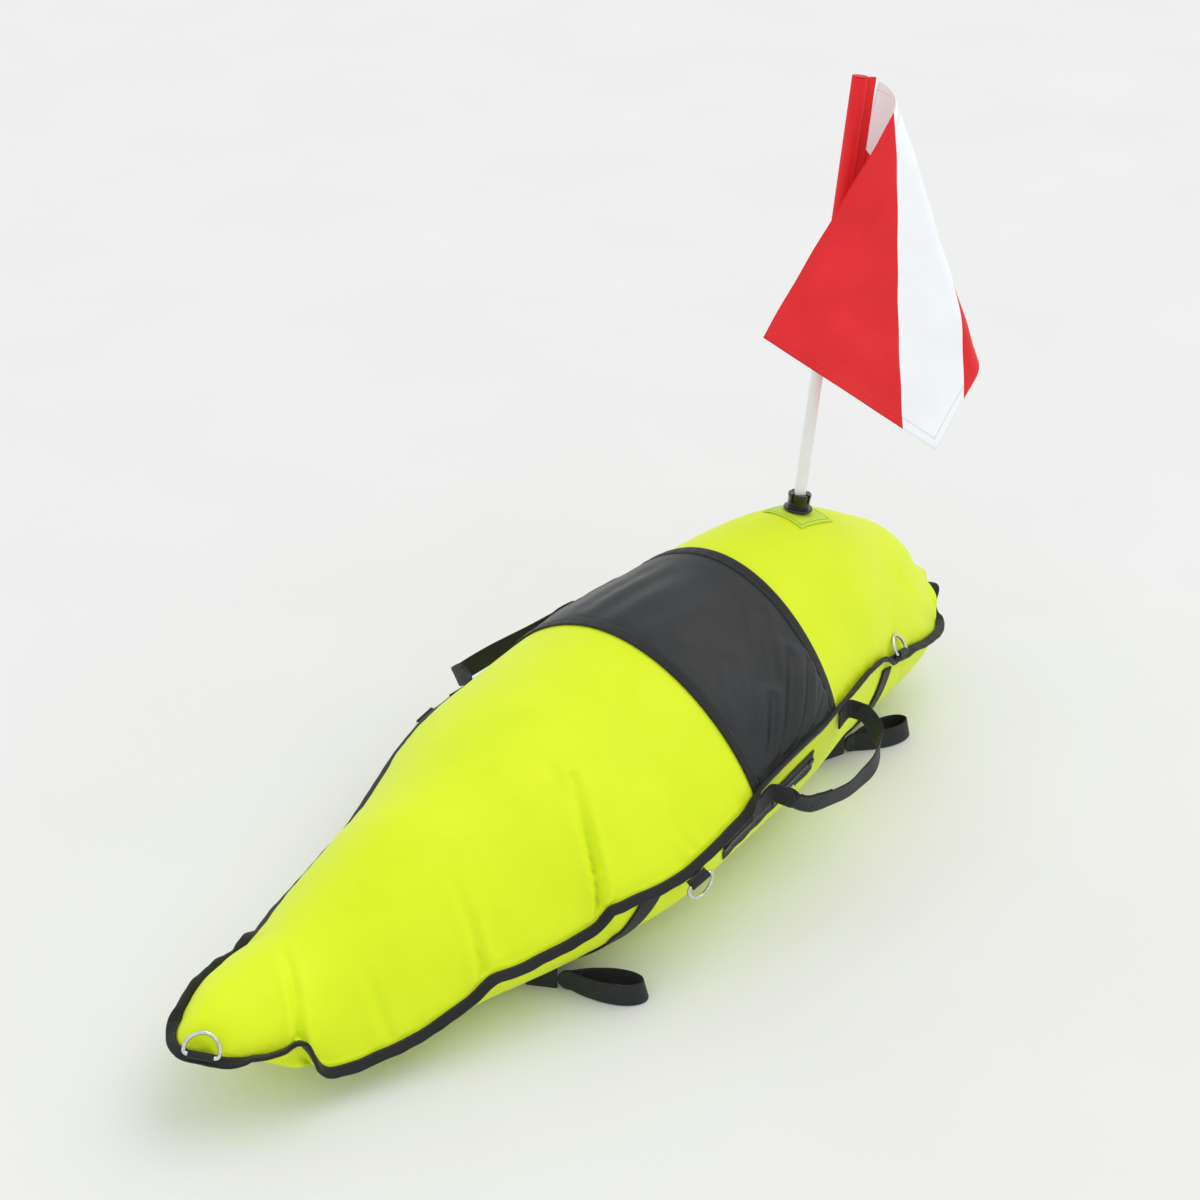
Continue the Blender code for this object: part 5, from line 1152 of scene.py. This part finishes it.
REAR_RING_X = 0.385
RINGS = {"nose": (-0.985, RIGHT, True), "front_right": (station(FRONT_RING_X), RIGHT, False),
         "front_left": (station(FRONT_RING_X), LEFT, False),
         "rear_right": (station(REAR_RING_X), RIGHT, True), "rear_left": (station(REAR_RING_X), LEFT, True)}
EYE = RING_WIRE / 2 + 0.0004
for word, (s, side, is_raised) in RINGS.items():
    at = Seam(s, side)
    reach = GAP + TAB_LEG + EYE + WEBBING / 2
    if is_raised:
        bar, direction = at.origin + at.along * 0.0065 + at.across * (BINDING_HALF + reach), at.across
    else:
        bar, direction = at.origin + at.along * (BINDING_REACH + reach - 0.0001), at.along
    matrix = local_frame(bar, direction, np.cross(at.tangent, direction))
    tab = folded(f"ring_tab_{word}_webbing", matrix, EYE, TAB_LEG, WEBBING, WEBBING_WIDTH)
    finish_piece(tab, black_webbing, "hull", "black_webbing", "ring_tab_" + word)
    rows = []
    for face in (1, -1):
        height = face * (WEBBING + TAB_FOLD_GAP / 2 + 0.00012)
        rows += [placed(matrix, [(x, height, -0.0105), (x, height, 0.0105)]) for x in (-0.0046, -0.0062)]
    sew(f"ring_tab_{word}_stitches", rows, step=0.0026, length=0.0020, thread=0.0006)
    matrix = bar_frame(word)
    turns = np.linspace(0, np.pi, 33)
    bow = np.stack([RING_HALF * np.cos(turns),
                    RING_ARM + RING_HALF * np.sin(turns) * (1 - 0.03 * np.sin(2 * turns) ** 2)], -1)
    corner = 0.0035
    bend = np.radians(np.linspace(0, 90, 7))[1:-1]
    right = [(RING_HALF - corner + corner * math.sin(t), corner - corner * math.cos(t)) for t in bend]
    left = [(-x, y) for x, y in reversed(right)]
    bar_line = [(x, 0) for x in np.linspace(-RING_HALF + corner, RING_HALF - corner, 9)]
    path = [*bar_line, *right, *bow, *left]
    ring = wire_ring(f"ring_{word}_wire", placed(matrix, [(x, y, 0) for x, y in path]), RING_WIRE / 2)
    finish_piece(ring, steel, f"ring_{word}", "steel", f"ring_{word}")

# Zip
# A coarse moulded zip in the right lower panel, under the binding, through which the bladder goes in:
# two woven tapes, two rows of moulded teeth, an end block at each end, a slider and a metal pull.

ZIP_TAPE_WIDTH, ZIP_TAPE, ZIP_CHAIN, ZIP_PITCH, ZIP_TOOTH = 0.0120, 0.0008, 0.0060, 0.0060, 0.0020
ZIP_END = 0.0100


def points_of(piece):
    return np.array([v.co for v in piece.data.vertices])


slide = joint_of["zip_slider"]
swing = joint_of["zip_pull"]
along = unit(np.array(slide["axis"]))
pull_axis = unit(np.array(swing["axis"]))
zip_out = unit(np.cross(along, unit(pull_axis - along * (pull_axis @ along))))
if zip_out[1] > 0:
    zip_out = -zip_out
zip_up = unit(np.cross(zip_out, along))
both = np.concatenate([points_of(frame["nodes"]["zip_tape_" + word]) for word in ("upper", "lower")])
track_middle = np.array([(both @ d).max() + (both @ d).min() for d in (along, zip_up)]) / 2
track_floor = (both @ zip_out).min()
track = local_frame(along * track_middle[0] + zip_up * track_middle[1] + zip_out * track_floor, along, zip_up)
track_half = ((both @ along).max() - (both @ along).min()) / 2 - ZIP_END

zip_tape = webbing_cloth("zip tape", (0.016, 0.018, 0.020), (0.040, 0.044, 0.048), 0.0011, 0.66)


def moulded(name, colour, pale, roughness, grain=420.0, dull=0.7):
    """Moulded plastic: fine grain, slight clouding, paler where it is rubbed."""
    look = Look(name, roughness, Specular_IOR_Level=0.5, Coat_Roughness=0.25)
    tree = look.tree
    fine = look.noise(grain, 4.0)
    clouds = look.noise(36.0, 5.0, Roughness=0.7)
    look.set(Base_Color=ramp(tree, clouds, (0.30, (*(dull * c for c in colour), 1)),
                             (0.60, (*colour, 1)), (0.85, (*pale, 1))))
    look.set(Roughness=maths(tree, "MULTIPLY_ADD", clouds, 0.28, roughness - 0.12))
    look.set(Coat_Weight=maths(tree, "MULTIPLY_ADD", clouds, 0.3, 0.1))
    look.set(Normal=look.bump(fine, 0.00008, 0.5))
    return look.material


black_plastic = moulded("black moulded plastic", (0.012, 0.013, 0.014), (0.030, 0.032, 0.034), 0.34)

# The lower panel lies pressed flat behind the tapes
panel_points = points_of(cover_lower)
in_track = (panel_points - track[:3, 3]) @ track[:3, :3]
beyond = np.maximum(np.abs(in_track[:, 0]) - track_half - ZIP_END,
                    np.abs(in_track[:, 1]) - ZIP_CHAIN / 2 - ZIP_TAPE_WIDTH)
pressed = np.clip(1 - beyond / 0.012, 0, 1) ** 2 * (np.abs(in_track[:, 2]) < 0.02)
panel_points -= (np.maximum(0.0, in_track[:, 2] + 0.0008) * pressed)[:, None] * track[:3, 2]
cover_lower.data.vertices.foreach_set("co", panel_points.ravel())

zip_rows = []
for word, sign in (("upper", 1), ("lower", -1)):
    inner = sign * (ZIP_CHAIN / 2 + GAP)
    a, b = np.meshgrid(np.linspace(-1, 1, 120), np.linspace(0, 1, 13), indexing="ij")
    x = a * (track_half + ZIP_END)
    y = inner + sign * ZIP_TAPE_WIDTH * b
    wave = 0.00045 * (1 + np.sin(x * 210 + sign)) * b ** 2
    points = placed(track, np.stack([x, y, wave], -1).reshape(-1, 3)).reshape(x.shape + (3,))
    normals = np.broadcast_to(track[:3, 2], points.shape)
    tape = sheet_shell(f"zip_tape_{word}_cloth", points, normals, 0.0, ZIP_TAPE, np.stack([x, y], -1))
    finish_piece(tape, zip_tape, "hull", "black_webbing", f"zip_tape_{word}")
    zip_rows.append(points[2:-2, 9] + normals[2:-2, 9] * (ZIP_TAPE + THREAD_LIFT))
sew("zip_stitches", zip_rows, thread=0.0006, **CLOSE_STITCHES)


def teeth_tree():
    """Copies of one tooth a set pitch apart along a line, all turned the same way."""
    group, given, put = shape_tree("zip teeth", "Teeth", Line="Geometry", Tooth="Object", Pitch="Float",
                                   Material="Material")
    line = wire(group, "GeometryNodeMeshToCurve", given["Line"]).outputs[0]
    evenly = wire(group, "GeometryNodeResampleCurve", line, mode="LENGTH", Length=given["Pitch"]).outputs[0]
    tooth = wire(group, "GeometryNodeObjectInfo", given["Tooth"]).outputs["Geometry"]
    copies = wire(group, "GeometryNodeInstanceOnPoints", Points=evenly, Instance=tooth).outputs[0]
    real = wire(group, "GeometryNodeRealizeInstances", copies).outputs[0]
    dressed = wire(group, "GeometryNodeSetMaterial", real, Material=given["Material"]).outputs[0]
    group.links.new(dressed, put["Teeth"])
    return group


teeth = teeth_tree()
SPINE = 0.0014
for word, sign in (("upper", 1), ("lower", -1)):
    root, tip = ZIP_CHAIN / 2 - SPINE, -ZIP_CHAIN / 2 + SPINE + GAP
    width = ZIP_PITCH / 2 - GAP
    outline = [(0, root + 0.0003), (0, 0.0004), (-0.00022, -0.0002), (0.0001, tip + 0.0003), (0.0005, tip),
               (width - 0.0005, tip), (width - 0.0001, tip + 0.0003), (width + 0.00022, -0.0002),
               (width, 0.0004), (width, root + 0.0003)]
    outline = [(x, sign * y) for x, y in outline]
    layers = ((0.0002, 0.9), (0.0006, 1.0), (ZIP_TOOTH - 0.0004, 1.0), (ZIP_TOOTH, 0.86))
    verts = []
    for height, scale in layers:
        verts += [(width / 2 + (x - width / 2) * scale, y * scale, height) for x, y in outline]
    size = len(outline)
    faces = [tuple(reversed(range(size))), tuple(range(3 * size, 4 * size))]
    faces += band_faces(size, len(layers))
    tooth = turn_outward(mesh_piece("one_tooth", [track[:3, :3] @ np.array(v) for v in verts], faces,
                                    smooth=False))
    shift = GAP + (0.0 if sign > 0 else ZIP_PITCH / 2)
    count = int(2 * track_half / ZIP_PITCH)
    row_end = -track_half + shift + (count - 1) * ZIP_PITCH + 1e-5
    line = placed(track, [(-track_half + shift, 0, 0), (row_end, 0, 0)])
    base = add_object("teeth_line", bpy.data.meshes.new("teeth_line"))
    base.data.from_pydata([tuple(p) for p in line], [(0, 1)], [])
    row = grow(f"zip_teeth_{word}_row", base, teeth,
               {"Tooth": tooth, "Pitch": ZIP_PITCH, "Material": black_plastic})
    bpy.data.objects.remove(tooth, do_unlink=True)
    finish_piece(row, None, "hull", "black_plastic", f"zip_teeth_{word}")
    spine = strip(f"zip_teeth_{word}_spine",
                  placed(track, [(x, sign * (ZIP_CHAIN / 2 - SPINE / 2), ZIP_TOOTH / 2)
                                 for x in np.linspace(-track_half, track_half, 40)]),
                  np.tile(track[:3, 1], (40, 1)), SPINE / 2, ZIP_TOOTH * 0.8)
    finish_piece(spine, black_plastic, "hull", "black_plastic")
for name in ("zip_stop_front", "zip_stop_rear"):
    finish_piece(from_node(name, track, 0.0008, 3), black_plastic, "hull", "black_plastic", name)
finish_piece(from_node("zip_slider", track, 0.0003, 2), black_plastic, "zip_slider", "black_plastic",
             "zip_slider")
finish_piece(from_node("zip_pull", track, 0.0003, 2), steel, "zip_pull", "steel", "zip_pull")

# Bladder and valve
# A welded bag of clear vinyl inside the cover, with a stout black filler valve and its push-in plug,
# reached through the zip.


def clear_film(name):
    """Clear vinyl film, faintly milky, with the ripple that welding leaves."""
    look = Look(name, 0.22, Transmission_Weight=0.55, IOR=1.45)
    tree = look.tree
    milk = look.noise(18.0, 4.0)
    look.set(Base_Color=ramp(tree, milk, (0.3, (0.66, 0.72, 0.76, 1)), (0.7, (0.82, 0.87, 0.90, 1))))
    look.set(Roughness=maths(tree, "MULTIPLY_ADD", milk, 0.2, 0.12), Normal=look.bump(milk, 0.002, 0.5))
    return look.material


BLADDER_IN = 0.016
BLADDER_ROWS, BLADDER_COLUMNS = 180, 60
rows = -np.cos(np.pi * np.arange(1, BLADDER_ROWS) / BLADDER_ROWS) * 0.965
turns = np.pi * (np.arange(BLADDER_COLUMNS + 1) / BLADDER_COLUMNS - 0.5)
s, angle = np.meshgrid(rows, turns, indexing="ij")
halves = []
for top in (True, False):
    points = hull(s, angle, top)
    middle = np.stack([s * HALF_LENGTH, 0 * s, seam_height(s)], -1)
    away = points - middle
    size = np.linalg.norm(away, axis=-1, keepdims=True)
    shrunk = middle + away * np.maximum(0.45, 1 - BLADDER_IN / np.maximum(size, 1e-6))
    shrunk[..., 2] = np.maximum(shrunk[..., 2], 0.0035)
    halves.append(shrunk)
upper, lower = halves
seam_line = (upper[:, [0, -1]] + lower[:, [0, -1]]) / 2
upper[:, [0, -1]] = lower[:, [0, -1]] = seam_line
wide = BLADDER_COLUMNS + 1
half_count = len(rows) * wide
bag_verts = np.concatenate([upper.reshape(-1, 3), lower.reshape(-1, 3)])
bag_faces = grid_faces(len(rows), wide) + grid_faces(len(rows), wide, half_count)
for i in (0, len(rows) - 1):
    bag_faces += [(i * wide + j, i * wide + j + 1, half_count + i * wide + j + 1, half_count + i * wide + j)
                  for j in range(BLADDER_COLUMNS)]

# The film is drawn in behind the valve, whose disc is welded to it
valve_axis = unit(np.array(joint_of["valve_plug"]["axis"]))
valve_points = points_of(frame["nodes"]["valve_body"])
height = bag_verts @ valve_axis - (valve_points @ valve_axis).min()
aside = bag_verts - (valve_points.max(0) + valve_points.min(0)) / 2
aside = np.linalg.norm(aside - (aside @ valve_axis)[:, None] * valve_axis, axis=1)
DRAWN_RADIUS, DRAWN_RUN, FILM_GAP = 0.062, 0.034, 0.0008
drawn = np.clip((DRAWN_RADIUS - aside) / DRAWN_RUN, 0, 1)
bag_verts -= (np.maximum(0.0, height + FILM_GAP) * drawn * drawn * (3 - 2 * drawn))[:, None] * valve_axis
bag = merge_points(mesh_piece("bladder_bag", bag_verts, bag_faces), 1e-6)
finish_piece(turn_outward(bag), clear_film("clear vinyl film"), "hull", "clear_vinyl", "air_bladder")


def dress_node(name, material):
    """The node's own shape is right and stays; it only gets its finish."""
    node = frame["nodes"][name]
    node.data.materials.clear()
    node.data.materials.append(material)
    return node


for name in ("valve_body", "valve_plug", "socket_washer", "socket_nut", "pole_foot_plug"):
    dress_node(name, black_plastic)

# Flag socket and its patch
# A black moulded socket with four sprung prongs round its mouth, pushed up through the upper panel
# and clamped from inside by a washer and a nut. A square of yellow cloth is welded round it.

POLE_X, POLE_LEAN, POLE_SIDE_LEAN = 0.336, math.radians(9), math.radians(1.3)
PATCH_SIZE, PATCH_THICKNESS = 0.058, 0.0008
SOCKET_BORE, SOCKET_RADIUS, FLANGE_RADIUS = 0.0074, 0.0126, 0.0172
axis = unit(np.array((math.tan(POLE_LEAN), math.tan(POLE_SIDE_LEAN), 1.0)))
pole_base = hull(station(POLE_X), 0.0) + (0, 0, SKIN_LIFT)
pole_frame = local_frame(pole_base, np.cross((0, 1, 0), axis), np.cross(axis, np.cross((0, 1, 0), axis)))
SOCKET_TUBE, SOCKET_FLANGE = 0.0160, 0.0040
socket_heights = (points_of(frame["nodes"]["flag_socket"]) - pole_base) @ axis
rim, bottom = socket_heights.max(), socket_heights.min()
flange_top = rim - SOCKET_TUBE
flange_low = flange_top - SOCKET_FLANGE

patch_cloth = coated_cloth("patch cloth", ((0.25, (0.58, 0.84, 0.022, 1)), (0.55, (0.66, 0.90, 0.034, 1)),
                                           (0.85, (0.70, 0.92, 0.050, 1))), 0.55, 0.1)
a, b = np.meshgrid(np.linspace(-0.5, 0.5, 61), np.linspace(-0.5, 0.5, 61), indexing="ij")
s = station(POLE_X + PATCH_SIZE * a)
angle = np.arcsin(PATCH_SIZE * b / (half_width(s) * end_round(s)))
points, normals = over_cover(s, angle)
patch = sheet_shell("socket_patch_cloth", points, normals, CLOTH_GAP, CLOTH_GAP + PATCH_THICKNESS,
                    np.stack([a, b], -1) * PATCH_SIZE)
finish_piece(patch, patch_cloth, "hull", "patch_cloth", "socket_patch")
top_edge = points + normals * (CLOTH_GAP + PATCH_THICKNESS + 0.00005)
low, high = 4, 56
outline_rows = [np.array([*top_edge[low, low:high], *top_edge[low:high, high], *top_edge[high, high:low:-1],
                          *top_edge[high:low:-1, low], top_edge[low, low]])]
patch_thread = thread_material("patch thread", (0.16, 0.20, 0.05))
patch_rows = sew("socket_patch_stitches", outline_rows, "hull", "patch_cloth", patch_thread,
                 0.0026, 0.0022, 0.0007)


def turned(name, profile, matrix, sides=48):
    """Closed profile of (radius, height) turned round a frame's Z; points on the axis are shared."""
    verts, rings = [], []
    for radius, height in profile:
        if radius == 0:
            rings.append([len(verts)] * sides)
            verts.append((0, 0, height))
        else:
            rings.append([len(verts) + k for k in range(sides)])
            verts += [(radius * math.cos(t), radius * math.sin(t), height)
                      for t in np.linspace(0, math.tau, sides, endpoint=False)]
    faces = []
    for low_ring, high_ring in zip(rings, rings[1:] + rings[:1]):
        for k in range(sides):
            m = (k + 1) % sides
            corners = list(dict.fromkeys((low_ring[k], low_ring[m], high_ring[m], high_ring[k])))
            if len(corners) > 2:
                faces.append(corners)
    piece = turn_outward(mesh_piece(name, placed(matrix, verts), faces))
    piece.data.set_sharp_from_angle(angle=math.radians(42))
    return piece


outer = SOCKET_RADIUS
profile = [(0, bottom), (outer - 0.001, bottom), (outer, bottom + 0.001), (outer, flange_low),
           (FLANGE_RADIUS - 0.0004, flange_low), (FLANGE_RADIUS, flange_low + 0.0006),
           (FLANGE_RADIUS, flange_low + 0.0020), (FLANGE_RADIUS - 0.0008, flange_low + 0.0030),
           (outer + 0.0008, flange_top - 0.0006), (outer + 0.0001, flange_top + 0.0004),
           (outer + 0.0004, flange_top + 0.0020), (outer + 0.0004, rim - 0.0050),
           (outer + 0.0011, rim - 0.0040), (outer + 0.0011, rim - 0.0010), (outer + 0.0002, rim),
           (SOCKET_BORE + 0.0006, rim), (SOCKET_BORE, rim - 0.0008), (SOCKET_BORE, bottom + 0.0032),
           (0, bottom + 0.0032)]
socket = turned("flag_socket_body", profile, pole_frame, 96)


def cut_away(piece, cutters):
    """Boolean cutters out of a piece one after another."""
    for cutter in cutters:
        step = piece.modifiers.new("cut", "BOOLEAN")
        step.operation, step.object, step.solver = "DIFFERENCE", cutter, "EXACT"
        bpy.context.view_layer.update()
        result = bpy.data.meshes.new_from_object(piece.evaluated_get(bpy.context.evaluated_depsgraph_get()))
        piece.modifiers.clear()
        piece.data = result
        bpy.data.objects.remove(cutter, do_unlink=True)
    return piece


def slot_cutter(matrix, half_x, half_y, low, high):
    """Block with a rounded foot, for the gap between two prongs."""
    foot = [(half_x * math.sin(t), low - half_x * math.cos(t)) for t in np.radians(np.linspace(-90, 90, 9))]
    outline = [*foot, (half_x, high), (-half_x, high)]
    size = len(outline)
    verts = [(x, y, z) for y in (-half_y, half_y) for x, z in outline]
    faces = [tuple(range(size)), tuple(reversed(range(size, 2 * size)))]
    faces += band_faces(size, 2)
    return turn_outward(mesh_piece("slot_cutter", placed(matrix, verts), faces, smooth=False))


quarter = pole_frame @ np.array(((0, -1, 0, 0), (1, 0, 0, 0), (0, 0, 1, 0), (0, 0, 0, 1)))
cut_away(socket, [slot_cutter(turn, 0.00175, 0.02, rim - 0.0085, rim + 0.004)
                  for turn in (pole_frame, quarter)])
socket.data.shade_smooth()
socket.data.set_sharp_from_angle(angle=math.radians(40))
finish_piece(socket, moulded("glossy black socket", (0.004, 0.005, 0.005), (0.014, 0.015, 0.016), 0.16),
             "hull", "black_plastic", "flag_socket")

# Flag pole
# White plastic tube, 14 mm across and open inside, with a foot plug below and a rounded cap on top.

POLE_RADIUS, POLE_WALL, POLE_HEIGHT = 0.0070, 0.0014, 0.493
white_plastic = moulded("white pole plastic", (0.93, 0.94, 0.94), (0.95, 0.96, 0.96), 0.32, 260.0, 0.95)
pole_low = ((points_of(frame["nodes"]["flag_pole"]) - pole_base) @ axis).min()
POLE_BEVEL, CAP_HEIGHT, CAP_PLUG = 0.0003, 0.0060, 0.012
bore = POLE_RADIUS - POLE_WALL
tube = [(bore, pole_low), (POLE_RADIUS - POLE_BEVEL, pole_low), (POLE_RADIUS, pole_low + POLE_BEVEL),
        (POLE_RADIUS, POLE_HEIGHT - POLE_BEVEL), (POLE_RADIUS - POLE_BEVEL, POLE_HEIGHT), (bore, POLE_HEIGHT)]
finish_piece(turned("flag_pole_tube", tube, pole_frame), white_plastic, "pole", "white_plastic", "flag_pole")
cap_low, inside = POLE_HEIGHT + GAP, bore - GAP
cap_high = cap_low + CAP_HEIGHT
dome = [(POLE_RADIUS * math.cos(t) ** 0.6, cap_low + 0.0018 + 0.0042 * math.sin(t))
        for t in np.radians(np.linspace(0, 84, 9))]
cap = [(0, POLE_HEIGHT - CAP_PLUG), (inside, POLE_HEIGHT - CAP_PLUG), (inside, cap_low),
       (POLE_RADIUS, cap_low), *dome, (0, cap_high)]
finish_piece(turned("pole_tip_cap_dome", cap, pole_frame), white_plastic, "pole", "white_plastic",
             "pole_tip_cap")

# Flag
# Red polyester cloth with a white stripe sewn from the upper hoist to the lower fly corner. Its hoist
# is a sleeve closed at the top that slips over the pole; here the cloth hangs folded over itself.

FLAG_HOIST, FLAG_FLY, FLAG_CLOTH = 0.300, 0.339, 0.0009
FLAG_YAW, FOLD_SLANT = math.radians(-20.5), math.radians(29.8)
FOLD_START, FOLD_RADIUS, FOLD_ANGLE = -0.007, 0.023, math.radians(175)
SLEEVE_RADIUS, SLEEVE_TAIL = POLE_RADIUS + 0.0008, 0.0120
fly = np.array((math.cos(FLAG_YAW), math.sin(FLAG_YAW), 0))
fly = unit(fly - axis * (fly @ axis))
flag_top = cap_high + GAP
flag_frame = local_frame(placed(pole_frame, (0, 0, flag_top)), fly, np.cross(axis, fly))


def flag_cloth(name, striped):
    """Thin plain-weave polyester, red, with the stripe laid out on the flat cloth in metres.

    The white is brightened cloth with a faint glow of painted light; the colours darken between threads as
    painted shade.
    """
    look = Look(name, 0.62, Sheen_Weight=0.05, Sheen_Roughness=0.4, Specular_IOR_Level=0.3)
    tree = look.tree
    flat = wire(tree, "ShaderNodeUVMap", uv_map="flat").outputs[0]
    weave = apply_effect(tree, weave_group, flat, Threads_per_metre=2200.0)
    clouds = look.noise(16.0, 5.0)
    # painted shade: the colour darkens in the gaps between threads
    tone = maths(tree, "MULTIPLY_ADD", weave["Gap"], -0.3, clouds)
    colour = ramp(tree, tone, (0.25, (0.80, 0.012, 0.018, 1)), (0.55, (0.90, 0.020, 0.028, 1)),
                  (0.85, (0.93, 0.034, 0.042, 1)))
    if striped:
        split = wire(tree, "ShaderNodeSeparateXYZ", flat).outputs
        down = maths(tree, "DIVIDE", split["Y"], FLAG_HOIST)
        over = maths(tree, "DIVIDE", split["X"], FLAG_FLY)
        off = maths(tree, "ABSOLUTE", maths(tree, "SUBTRACT", down, over))
        stripe = maths(tree, "MULTIPLY", maths(tree, "SUBTRACT", STRIPE_HALF, off), 900.0)
        edge = wire(tree, "ShaderNodeClamp", stripe).outputs[0]
        white = ramp(tree, tone, (0.25, (0.86, 0.87, 0.90, 1)), (0.55, (0.92, 0.93, 0.95, 1)))
        mix = wire(tree, "ShaderNodeMix", data_type="RGBA")
        for socket, value in ((0, edge), (6, colour), (7, white)):
            tree.links.new(value, mix.inputs[socket])
        colour = mix.outputs[2]
        # painted light: the white stripe glows faintly, giving back more light than falls on it
        look.set(Emission_Color=(0.86, 0.93, 1.0, 1), Emission_Strength=maths(tree, "MULTIPLY", edge, 0.14))
    look.set(Base_Color=colour, Roughness=maths(tree, "MULTIPLY_ADD", clouds, 0.2, 0.5))
    fine = look.bump(weave["Height"], 0.00010, 0.6)
    look.set(Normal=look.bump(clouds, 0.0010, 0.3, over=fine))
    return look.material


STRIPE_HALF = 0.198
striped_cloth = flag_cloth("red and white flag cloth", True)
red_cloth = flag_cloth("red flag cloth", False)


def flag_point(fly_place, drop, height=0.0):
    """Place on the flat flag bent round the slanting fold; height is off the cloth's middle."""
    from_fold = fly_place - FOLD_START
    across = from_fold * math.cos(FOLD_SLANT) - drop * math.sin(FOLD_SLANT)
    along_fold = from_fold * math.sin(FOLD_SLANT) + drop * math.cos(FOLD_SLANT)
    turn = np.clip(across / FOLD_RADIUS, 0.0, FOLD_ANGLE)
    past = across - turn * FOLD_RADIUS
    out = FOLD_RADIUS * np.sin(turn) + past * np.cos(turn) + height * np.sin(turn)
    forward = FOLD_RADIUS * (1 - np.cos(turn)) + past * np.sin(turn) - height * np.cos(turn)
    x = FOLD_START + along_fold * math.sin(FOLD_SLANT) + out * math.cos(FOLD_SLANT)
    z = out * math.sin(FOLD_SLANT) - along_fold * math.cos(FOLD_SLANT)
    return placed(flag_frame, np.stack([x, -forward, z], -1).reshape(-1, 3)).reshape(x.shape + (3,))


fly_start = SLEEVE_RADIUS + FLAG_CLOTH / 2 + SLEEVE_TAIL + GAP
u, v = np.meshgrid(np.linspace(0, 1, 120), np.linspace(0, 1, 110), indexing="ij")
fly_place = fly_start + (FLAG_FLY - fly_start) * u
drop = FLAG_HOIST * v


def flag_ripple(u, v):
    """Soft waves of the hanging cloth, still at the hoist."""
    free = np.clip(u / 0.25, 0, 1) ** 2
    return free * (0.0016 * np.sin(5.2 * u + 2.4 * v) + 0.0010 * np.sin(11 * v - 4 * u + 1)
                   + 0.0005 * np.sin(26 * u + 15 * v))


middle = flag_point(fly_place, drop, flag_ripple(u, v))
ahead = flag_point(fly_place + 1e-4, drop, flag_ripple(u + 1e-4 / (FLAG_FLY - fly_start), v))
below = flag_point(fly_place, drop + 1e-4, flag_ripple(u, v + 1e-4 / FLAG_HOIST))
flag_normal = unit(np.cross(ahead - middle, below - middle))
flat = np.stack([fly_place, drop], -1)
flag = sheet_shell("flag_sheet", middle, flag_normal, -0.00025, 0.00025, flat)
finish_piece(flag, striped_cloth, "flag", "red_cloth", "flag")
red_thread = thread_material("red thread", (0.62, 0.10, 0.11))
hem_rows = []
for face in (1, -1):
    skin = middle + flag_normal * face * 0.0003
    hem_rows += [skin[:-4, 4], skin[:-4, -5], skin[-5, 4:-4]]
flag_rows = sew("flag_stitches", hem_rows, "flag", "red_cloth", red_thread, 0.0030, 0.0024, 0.0005)

sleeve_frame = local_frame(placed(flag_frame, (0, 0, -FLAG_HOIST / 2)), -flag_frame[:3, 0],
                           -flag_frame[:3, 1])
sleeve = folded("flag_sleeve_cloth", sleeve_frame, SLEEVE_RADIUS, SLEEVE_TAIL, FLAG_CLOTH, FLAG_HOIST)
finish_piece(sleeve, red_cloth, "flag", "red_cloth", "flag_sleeve")
disc = SLEEVE_RADIUS + FLAG_CLOTH
lid = [(0, GAP), (disc - 0.0003, GAP), (disc, GAP + 0.0003), (disc - 0.0003, GAP + FLAG_CLOTH),
       (disc * 0.6, GAP + 0.0011), (0, GAP + 0.0012)]
lid_frame = flag_frame.copy()
lid_frame[:3, 2] = axis
finish_piece(turned("sleeve_top_cloth", lid, lid_frame), red_cloth, "flag", "red_cloth", "sleeve_top")
sleeve_rows = [placed(sleeve_frame, [(-SLEEVE_RADIUS - 0.004, y, -0.148), (-SLEEVE_RADIUS - 0.004, y, 0.148)])
               for y in (0.0013, -0.0013)]
sew("sleeve_stitches", sleeve_rows, "flag", "red_cloth", red_thread, 0.0030, 0.0024, 0.0005)

# Floor, light and camera
# Pale seamless floor in a bright room: even light from all round, one broad lamp high over the tail,
# and the camera where the photograph was taken from.

floor_look = Look("pale floor", 0.55)
tree = floor_look.tree
grain = floor_look.noise(3.0, 4.0)
floor_look.set(Base_Color=ramp(tree, grain, (0.3, (0.835, 0.835, 0.825, 1)), (0.7, (0.86, 0.86, 0.85, 1))))
floor_look.set(Roughness=maths(tree, "MULTIPLY_ADD", grain, 0.1, 0.5))
FLOOR_HALF = 30.0
corners = [(-FLOOR_HALF, -FLOOR_HALF, 0), (FLOOR_HALF, -FLOOR_HALF, 0), (FLOOR_HALF, FLOOR_HALF, 0),
           (-FLOOR_HALF, FLOOR_HALF, 0)]
ground = mesh_piece("floor", corners, [(0, 1, 2, 3)])
ground.data.materials.append(floor_look.material)

world = bpy.data.worlds.new("room")
world.use_nodes = True
backdrop = world.node_tree.nodes["Background"]
backdrop.inputs["Color"].default_value = (0.97, 0.99, 1.0, 1)
backdrop.inputs["Strength"].default_value = 0.86
bpy.context.scene.world = world

lamp = bpy.data.lights.new("broad lamp", "SUN")
lamp.energy = 0.66
lamp.angle = math.radians(50)
lamp.color = (1.0, 0.985, 0.95)
TOWARD_LAMP = Vector((0.55, -0.15, 1.0))
lamp_stand = add_object("broad lamp", lamp)
lamp_stand.rotation_euler = TOWARD_LAMP.to_track_quat("Z", "Y").to_euler()

lens = bpy.data.cameras.new("photo camera")
lens.lens = 60.0
lens.sensor_width = 36.0
lens.clip_end = 200.0
viewer = add_object("photo camera", lens)
AZIMUTH, ELEVATION = math.radians(-46.28), math.radians(32.10)
back = Vector((math.sin(AZIMUTH) * math.cos(ELEVATION), -math.cos(AZIMUTH) * math.cos(ELEVATION),
               math.sin(ELEVATION)))
viewer.location = (-1.29248, -1.23828, 1.45388)
viewer.rotation_euler = back.to_track_quat("Z", "Y").to_euler()
bpy.context.scene.camera = viewer
bpy.context.scene.view_settings.view_transform = "Standard"
